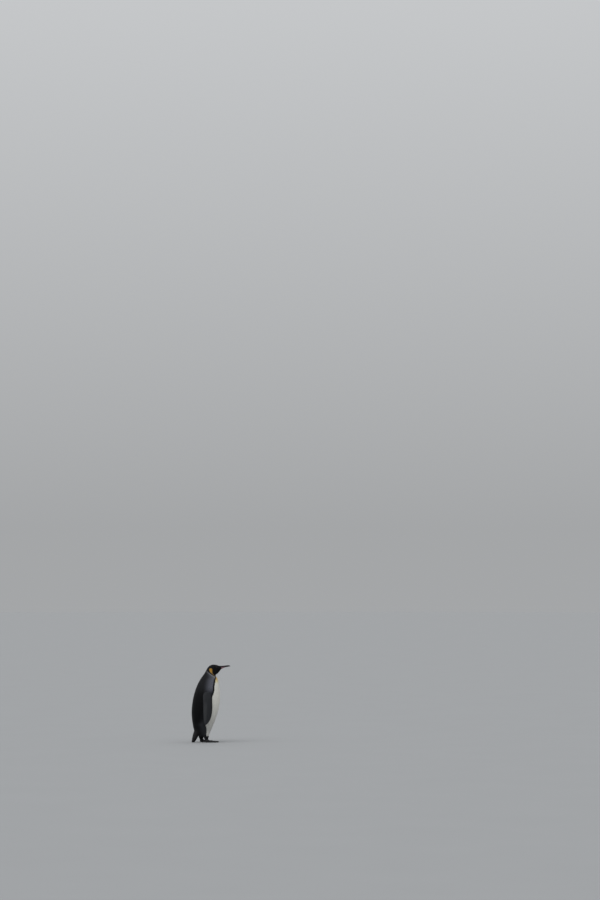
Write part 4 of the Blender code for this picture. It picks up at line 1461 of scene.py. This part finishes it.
def scale_plates(centres, along, half_long, half_wide, rise, sides, squareness):
    """Points and polygons of low domed plates on the skin: a sunk rim, a shoulder and a top."""
    under = surface("foot")
    place, up = under.nearest(centres)
    along = unit(along - up * (along * up).sum(1, keepdims=True))
    across = np.cross(along, up)
    power = 2 / squareness
    rows = []
    for reach, height in PLATE_RINGS:
        lift = height if height < 0 else rise * height
        for turn in ring_turns(sides):
            u = math.copysign(abs(math.cos(turn)) ** power, math.cos(turn)) * reach
            v = math.copysign(abs(math.sin(turn)) ** power, math.sin(turn)) * reach
            corner = place + along * u * half_long[:, None] + across * v * half_wide[:, None]
            spot, there = under.nearest(corner)
            rows.append(spot + there * lift)
    top = (len(PLATE_RINGS) - 1) * sides
    polygons = [tuple(range(sides)), tuple(reversed(range(top, top + sides)))]
    for ring in range(0, top, sides):
        for k in range(sides):
            after = (k + 1) % sides
            polygons.append((ring + k, ring + sides + k, ring + sides + after, ring + after))
    return np.stack(rows, axis=1).reshape(-1, 3), polygons


def plates_object(name, part, kind, centres, along, half_long, half_wide):
    """Object of many domed plates of one kind on a foot, dark in the clefts."""
    points, polygons = scale_plates(centres, along, half_long, half_wide, **kind)
    sides = kind["sides"]
    mesh, corner = mesh_of_copies(name, points, polygons, len(PLATE_RINGS) * sides)
    hue = settings().colours
    wear = np.random.default_rng(41).uniform(0, 1, len(centres)) ** 2
    tops = mix(hue.foot, hue.foot_pale, LEAST_WEAR + MORE_WEAR * wear)
    # painted shade in the clefts: darkest at each plate's sunk rim
    shade = np.repeat(PLATE_SHADES, sides)
    put_attribute(mesh, "markings", (tops[:, None] * shade[:, None]).reshape(-1, 3), "FLOAT_COLOR")
    turns = np.tile(ring_turns(sides), len(PLATE_RINGS))
    reach = np.repeat([wide for wide, _ in PLATE_RINGS], sides)
    flat = unwrap(centres, np.zeros_like(centres), part)
    put_patches(mesh, corner, flat, np.cos(turns) * reach, np.sin(turns) * reach * 0.5 + 0.5)
    mesh.shade_smooth()
    mesh.set_sharp_from_angle(angle=SCALE_CREASE)
    obj = new_object(mesh)
    recalculate(obj)
    return obj


def toe_line(side, toe):
    """Start and end of a toe on the floor, from under the ankle to under its claw."""
    start, end = ankle(side), np.array(middle(f"claw_{side}_{toe}"))
    return start * (1, 1, 0), end * (1, 1, 0)


def toe_scutes(side):
    """Middles, directions and half sizes of the wide plates that run down a foot's toes."""
    centres, along, half_long, half_wide = [], [], [], []
    for toe in TOES[:3]:
        start, end = toe_line(side, toe)
        run = end - start
        reach = np.linalg.norm(run) - SCUTE_TO
        for step in np.arange(SCUTE_FROM, reach, SCUTE_STEP):
            centres.append(start + run / np.linalg.norm(run) * step + SCUTE_ABOVE)
            along.append(run)
            half_long.append(SCUTE_STEP * SCUTE_HALF_LONG)
            half_wide.append(SCUTE_HALF_WIDE - SCUTE_NARROWS * (step / reach))
    return np.array(centres), unit(np.array(along)), np.array(half_long), np.array(half_wide)


def pebble_places(side):
    """Middles of the small round scales of a foot."""
    skin = bpy.data.objects["skin"]
    mesh = skin.data
    chosen = face_parts(mesh) == part_number("foot_" + side)
    chosen &= vectors_of(mesh.polygons, "normal")[:, 2] > PEBBLE_FACING
    height = face_centres(mesh)[:, 2]
    chosen &= (height > PEBBLE_HEIGHTS[0]) & (height < PEBBLE_HEIGHTS[1])
    roots = scatter(skin, chosen, PEBBLE_SPACING, 43)
    apart = np.full(len(roots), 1.0)
    for toe in TOES[:3]:
        start, end = toe_line(side, toe)
        run = end - start
        share = np.clip(((roots - start) * (1, 1, 0)) @ run / (run @ run), *TOE_SHARES)
        away = (roots - start - share[:, None] * run) * (1, 1, 0)
        apart = np.minimum(apart, np.linalg.norm(away, axis=1))
    normals = surface("foot").nearest(roots)[1]
    return roots[(apart > TOE_HALF) | (normals[:, 2] < TOE_SIDE)]


class PENGUIN_OT_feet(bpy.types.Operator):
    """Cover the feet with scales: wide plates down the toes and small round ones elsewhere"""

    bl_idname = "penguin.feet"
    bl_label = "Scales of the feet"

    def execute(self, context):
        look = scale_finish()
        for side in SIDES:
            part = "foot_" + side
            scutes = plates_object("toe_plates_" + side, part, SCUTE, *toe_scutes(side))
            place_in_model(scutes, slot="foot_skin", material=look)
            roots = pebble_places(side)
            ahead, size = np.tile(PEBBLE_AHEAD, (len(roots), 1)), np.full(len(roots), PEBBLE_HALF)
            pebbles = plates_object("foot_scales_" + side, part, PEBBLE, roots, ahead, size, size)
            place_in_model(pebbles, slot="foot_skin", material=look)
        return {"FINISHED"}


def shape_claw(obj, root):
    """Make a claw fuller and narrower than its cone, arched, and let its base into the toe."""
    points = coordinates(obj.data)
    along = share_along(np.linalg.norm((points - root)[:, :2], axis=1))
    base, tip = points[along < CLAW_ENDS[0]].mean(0), points[along > CLAW_ENDS[1]].mean(0)
    run = unit((tip - base)[None])[0]
    axis = base + (tip - base) * along[:, None]
    fuller = np.minimum(np.clip(1 - along, CLAW_LEAST, 1) ** CLAW_FULLNESS, CLAW_FULLEST)
    off = (points - axis) * fuller[:, None]
    off *= ease(along, *CLAW_POINTS)[:, None]
    side = np.cross(run, (0, 0, 1.0))
    off -= side * (off @ side * (1 - CLAW_NARROW))[:, None]
    arch = CLAW_ARCH * np.sin(math.pi * np.clip(along, 0, 1)) - CLAW_DROP * along**2
    moved = CLAW_LONGER * along - CLAW_LET_IN * ease(along, *CLAW_BASE)
    points = fuller_toes(axis + off + run * moved[:, None])
    points[:, 2] = np.maximum(points[:, 2] + np.linalg.norm(tip - base) * arch, CLAW_FLOOR)
    put_coordinates(obj.data, points)
    put_attribute(obj.data, "along", along)


class PENGUIN_OT_claws(bpy.types.Operator):
    """Make the four claws of each foot"""

    bl_idname = "penguin.claws"
    bl_label = "Claws"

    def execute(self, context):
        look = horn_finish("claw_horn")
        for side in SIDES:
            for toe in TOES:
                node = f"claw_{side}_{toe}"
                claw = rounded_copy(node, f"nail_{side}_{toe}", levels=2, crease_angle=60)
                shape_claw(claw, ankle(side))
                place_in_model(claw, node, slot="horn", material=look)
        return {"FINISHED"}


# ---------------------------------------------------------------- finishes

MIX_INPUTS, MIX_OUTPUT = (0, 6, 7), 2  # sockets of a colour mix: share, both colours, and the result
# How finishes vary from place to place: a noise's scale, detail and stretch, then the (noise, value) stops.
UNEVEN = {
    "skin tone": ((90,), (0.3, 0.75), (0.7, 1.1)),
    "skin roughness": ((300,), (0.3, 0.5), (0.7, 0.72)),
    "feather tone": ((160, 4.0), (0.3, 0.9), (0.7, 1.08)),
    "feather roughness": ((500,), (0.25, 0.44), (0.75, 0.6)),
    "horn roughness": ((260,), (0.3, 0.34), (0.75, 0.5)),
    "plate tone": ((500, 4.0, (1, 0.2, 1)), (0.3, 0.8), (0.75, 1.12)),
    "iris tone": ((1400, 2.0), (0.3, 0.6), (0.7, 1.25)),
    "scale tone": ((220, 4.0), (0.3, 0.7), (0.72, 1.35)),
    "scale roughness": ((330,), (0.3, 0.42), (0.7, 0.66)),
    "floor tone": ((1.5, 2.0), (0.3, 0.992), (0.7, 1.008)),
}
SKIN_CELLS = 620
BARBS, BARB_SLANT, BARB_WAVES = 44.0, -9.0, 3.2  # along a feather, towards its edges, and in all
SHAFT_SHADE = ((0.0, 0.82), (0.16, 1.0))  # (share of the half width, tone)
HORN_GRAIN, HORN_STREAKS = (420, 5.0, (1.0, 0.12, 1.0)), ((0.35, 0.0), (0.8, 1.0))
HORN_PALER, HORN_PALE_SHARE = 3.2, 0.5
PLATE_GRAIN, PLATE_FADE = (600, 4.0, (1, 0.15, 1)), ((0.1, 0.0), (0.95, 1.0))
SCALE_GRAIN = (900, 4.0)
PUPIL, IRIS_EDGE = (0.002, 0.002, 0.002), 0.35  # black, and the tone of the iris at its edges
EYE_RINGS = (0.0, 0.29, 0.32, 0.44, 0.56, 0.63)  # pupil, iris and dark rim, for 1 at a right angle
RIGHT_ANGLE = 90.0
# Height in metres of what a finish raises.
RELIEF = {"skin": 0.0006, "feather": 0.00009, "horn": 0.00025, "plate": 0.0001, "scale": 0.00012}
BARB_STRENGTH = 0.8


class Finish:
    """A material being built: its nodes, its shader and short ways to add to them."""

    def __init__(self, name, **sockets):
        self.material = bpy.data.materials.new(name)
        self.material.use_nodes = True
        self.tree = self.material.node_tree
        self.shader = self.tree.nodes["Principled BSDF"]
        for key, value in sockets.items():
            self.shader.inputs[key.replace("_", " ")].default_value = value

    def put(self, socket, value):
        """Link a socket to an output, or set its value."""
        if isinstance(value, bpy.types.NodeSocket):
            self.tree.links.new(value, socket)
        else:
            socket.default_value = value

    def add(self, kind, settings=None, **sockets):
        """New node with these settings and inputs; returns it."""
        node = self.tree.nodes.new("ShaderNode" + kind)
        for key, value in (settings or {}).items():
            setattr(node, key, value)
        for key, value in sockets.items():
            self.put(node.inputs[key.replace("_", " ")], value)
        return node

    def attribute(self, name, output="Fac"):
        """Output that reads a mesh attribute."""
        return self.add("Attribute", {"attribute_name": name}).outputs[output]

    def math(self, operation, first, second=0.0, third=0.0):
        """Output of a sum on one to three values."""
        node = self.add("Math", {"operation": operation})
        for socket, value in zip(node.inputs, (first, second, third)):
            self.put(socket, value)
        return node.outputs[0]

    def noise(self, scale, detail=3.0, stretch=(1, 1, 1)):
        """Noise output on Object coordinates."""
        place = self.add("TexCoord").outputs["Object"]
        mapping = self.add("Mapping", Vector=place)
        mapping.inputs["Scale"].default_value = stretch
        return self.add("TexNoise", Vector=mapping.outputs[0], Scale=scale, Detail=detail).outputs["Fac"]

    def cells(self, scale):
        """Distance to the nearest cell's middle, on Object coordinates."""
        place = self.add("TexCoord").outputs["Object"]
        return self.add("TexVoronoi", Vector=place, Scale=scale).outputs["Distance"]

    def ramp(self, value, *stops):
        """Grey or colour output of a ramp; a stop is (place, grey or colour)."""
        node = self.add("ValToRGB", Fac=value)
        ramp = node.color_ramp
        while len(ramp.elements) < len(stops):
            ramp.elements.new(1.0)
        for element, (place, tone) in zip(ramp.elements, stops):
            element.position = place
            element.color = (*([tone] * 3 if isinstance(tone, (int, float)) else tone), 1)
        return node.outputs["Color"]

    def uneven(self, name):
        """Grey that varies from place to place, as the table of these says."""
        noise, *stops = UNEVEN[name]
        return self.ramp(self.noise(*noise), *stops)

    def times(self, colour_output, factor):
        """Colour multiplied by another colour or grey."""
        return self.blend(colour_output, factor, 1.0, "MULTIPLY")

    def blend(self, first, second, share, kind="MIX"):
        """Colour between two, or of two of them in another kind of mix."""
        node = self.add("Mix", {"data_type": "RGBA", "blend_type": kind})
        for number, value in zip(MIX_INPUTS, (share, first, second)):
            plain = isinstance(value, tuple) and len(value) == 3
            self.put(node.inputs[number], (*value, 1) if plain else value)
        return node.outputs[MIX_OUTPUT]

    def bump(self, height, distance, strength=1.0):
        """Raise the surface by a height in metres times distance."""
        node = self.add("Bump", Height=height, Distance=distance, Strength=strength)
        self.tree.links.new(node.outputs[0], self.shader.inputs["Normal"])

    def colour(self, output):
        """Use this as the base colour."""
        self.tree.links.new(output, self.shader.inputs["Base Color"])

    def roughness(self, output):
        """Use this as the roughness."""
        self.tree.links.new(output, self.shader.inputs["Roughness"])


def skin_finish():
    """Skin between the feather roots, and the bare skin of feet and lids."""
    look = Finish("skin", Roughness=0.6, Specular_IOR_Level=0.2)
    look.colour(look.times(look.attribute("markings", "Color"), look.uneven("skin tone")))
    look.roughness(look.uneven("skin roughness"))
    pebbles = look.math("MULTIPLY", look.cells(SKIN_CELLS), look.attribute("bare"))
    look.bump(pebbles, RELIEF["skin"])
    return look.material


def feather_finish(name):
    """Plumage: barbs that slant off the shaft, a soft gloss and a little unevenness."""
    look = Finish(name, Specular_IOR_Level=0.06)
    across = look.math("ABSOLUTE", look.attribute("across"))
    off_shaft = look.math("MULTIPLY", across, BARB_SLANT)
    slant = look.math("MULTIPLY_ADD", look.attribute("along"), BARBS, off_shaft)
    tint = look.times(look.attribute("markings", "Color"), look.ramp(across, *SHAFT_SHADE))
    look.colour(look.times(tint, look.uneven("feather tone")))
    look.roughness(look.uneven("feather roughness"))
    barbs = look.math("SINE", look.math("MULTIPLY", slant, BARB_WAVES))
    look.bump(barbs, RELIEF["feather"], BARB_STRENGTH)
    return look.material


def horn_finish(name):
    """Dark horn with fine grain along it and a dull shine."""
    hue = settings().colours
    look = Finish(name, Specular_IOR_Level=0.18, Coat_Weight=0.05, Coat_Roughness=0.25)
    grain = look.noise(*HORN_GRAIN)
    pale = look.math("MULTIPLY", look.ramp(grain, *HORN_STREAKS), HORN_PALE_SHARE)
    look.colour(look.blend(tuple(hue.horn), tuple(c * HORN_PALER for c in hue.horn), pale))
    look.roughness(look.uneven("horn roughness"))
    look.bump(grain, RELIEF["horn"])
    return look.material


def plate_finish():
    """Coloured plate of the lower bill, paler at its base and fading towards the tip."""
    hue = settings().colours
    look = Finish("bill_plate", Roughness=0.38, Specular_IOR_Level=0.3, Coat_Weight=0.1, Coat_Roughness=0.2)
    fade = look.ramp(look.attribute("along"), *PLATE_FADE)
    tint = look.blend(tuple(hue.plate), tuple(hue.plate_dark), fade)
    look.colour(look.times(tint, look.uneven("plate tone")))
    look.bump(look.noise(*PLATE_GRAIN), RELIEF["plate"])
    return look.material


def eye_finish():
    """Black pupil, dark brown iris with fine spokes, and a clear wet coat."""
    hue = settings().colours
    wet = {"Coat_Weight": 1.0, "Coat_Roughness": 0.015, "Coat_IOR": 1.34}
    look = Finish("eye", Roughness=0.4, Specular_IOR_Level=0.1, **wet)
    off_axis = look.math("DIVIDE", look.attribute("off_axis"), RIGHT_ANGLE)
    iris = tuple(hue.iris)
    edge = tuple(c * IRIS_EDGE for c in iris)
    rings = look.ramp(off_axis, *zip(EYE_RINGS, (PUPIL, PUPIL, edge, iris, edge, PUPIL)))
    look.colour(look.times(rings, look.uneven("iris tone")))
    return look.material


def scale_finish():
    """Horny scales of the feet: dark, dry, a little dusty on top."""
    look = Finish("foot_scales", Specular_IOR_Level=0.26)
    look.colour(look.times(look.attribute("markings", "Color"), look.uneven("scale tone")))
    look.roughness(look.uneven("scale roughness"))
    look.bump(look.noise(*SCALE_GRAIN), RELIEF["scale"])
    return look.material


def floor_finish():
    """Plain pale floor with the faintest unevenness."""
    look = Finish("floor", Roughness=0.85, Specular_IOR_Level=0.2)
    look.colour(look.times(tuple(settings().stage.floor), look.uneven("floor tone")))
    return look.material


# ---------------------------------------------------------------- stage

FLOOR_RADIUS = 90
SUN_FROM = (math.radians(38), 0, math.radians(200))  # tilt and bearing of the soft sun
SUN_STRENGTH, SUN_ANGLE = 1.1, math.radians(50)
SKY_STRENGTH = 1.15
HORIZON_TONE = 0.36  # brightness of the sky at the horizon, for 1 overhead
HORIZON_TO, OVERHEAD_FROM = 0.02, 0.75  # sines of the heights between which the sky brightens
FILM = 36  # millimetres along the picture's longer side
SIGHT = 500  # how far the camera sees


def make_world(context):
    """Overcast sky: bright overhead and no brighter than the floor at the horizon."""
    world = bpy.data.worlds.new("overcast")
    context.scene.world = world
    world.use_nodes = True
    nodes, links = world.node_tree.nodes, world.node_tree.links
    coordinate = nodes.new("ShaderNodeTexCoord")
    parts = nodes.new("ShaderNodeSeparateXYZ")
    ramp = nodes.new("ShaderNodeValToRGB")
    stops = ((HORIZON_TO, HORIZON_TONE), (OVERHEAD_FROM, 1))
    for element, (place, tone) in zip(ramp.color_ramp.elements, stops):
        element.position = place
        element.color = (*(c * tone for c in settings().stage.sky), 1)
    links.new(coordinate.outputs["Generated"], parts.inputs[0])
    links.new(parts.outputs["Z"], ramp.inputs[0])
    links.new(ramp.outputs["Color"], nodes["Background"].inputs["Color"])
    nodes["Background"].inputs["Strength"].default_value = SKY_STRENGTH


class PENGUIN_OT_stage(bpy.types.Operator):
    """Set up floor, soft light and camera"""

    bl_idname = "penguin.stage"
    bl_label = "Stage"

    def execute(self, context):
        stage = settings().stage
        floor = new_primitive(
            bpy.ops.mesh.primitive_circle_add, vertices=128, radius=FLOOR_RADIUS, fill_type="NGON"
        )
        floor.name = floor.data.name = "floor"
        floor.data.materials.append(floor_finish())
        make_world(context)
        bpy.ops.object.light_add(type="SUN", rotation=SUN_FROM)
        sun = context.object
        sun.name = "sun"
        sun.data.energy = SUN_STRENGTH
        sun.data.angle = SUN_ANGLE
        back = Vector((math.sin(stage.azimuth), -math.cos(stage.azimuth), 0))
        bpy.ops.object.camera_add(location=back * stage.distance + Vector((0, 0, stage.height)))
        camera = context.object
        camera.name = "camera"
        camera.rotation_euler = (math.pi / 2 + stage.aim_up, 0, stage.azimuth - stage.aim_right)
        camera.data.sensor_fit = "VERTICAL"
        camera.data.sensor_width = camera.data.sensor_height = FILM
        camera.data.lens = stage.lens
        camera.data.clip_end = SIGHT
        context.scene.camera = camera
        context.scene.view_settings.view_transform = "Standard"
        return {"FINISHED"}


# ---------------------------------------------------------------- add-on

OPERATORS = (
    PENGUIN_OT_stage, PENGUIN_OT_skin, PENGUIN_OT_coat, PENGUIN_OT_tail, PENGUIN_OT_bill, PENGUIN_OT_eyes,
    PENGUIN_OT_feet, PENGUIN_OT_claws,
)


class PENGUIN_PT_panel(bpy.types.Panel):
    """Sidebar panel with the penguin's pieces in the order in which they are made"""

    bl_label = "King penguin"
    bl_idname = "PENGUIN_PT_panel"
    bl_space_type = "VIEW_3D"
    bl_region_type = "UI"
    bl_category = "Penguin"

    def draw(self, context):
        for operator in OPERATORS:
            self.layout.operator(operator.bl_idname)


CLASSES = (
    FaceFeathers, HeadFeathers, NeckFeathers, TrunkFeathers, FlipperFeathers, LegFeathers, TailFeathers,
    PENGUIN_PG_colours, PENGUIN_PG_skin, PENGUIN_PG_stage, PENGUIN_PG_settings, *OPERATORS,
    PENGUIN_PT_panel,
)


def register():
    """Register the classes and the settings."""
    for item in CLASSES:
        bpy.utils.register_class(item)
    bpy.types.Scene.king_penguin = PointerProperty(type=PENGUIN_PG_settings)


def unregister():
    """Take the classes and the settings away again."""
    del bpy.types.Scene.king_penguin
    for item in reversed(CLASSES):
        bpy.utils.unregister_class(item)


def main():
    """Build the penguin and its stage, and write down the sizes of solids and looks."""
    register()
    for operator in OPERATORS:
        group, name = operator.bl_idname.split(".")
        getattr(getattr(bpy.ops, group), name)()


if __name__ == "__main__":
    main()
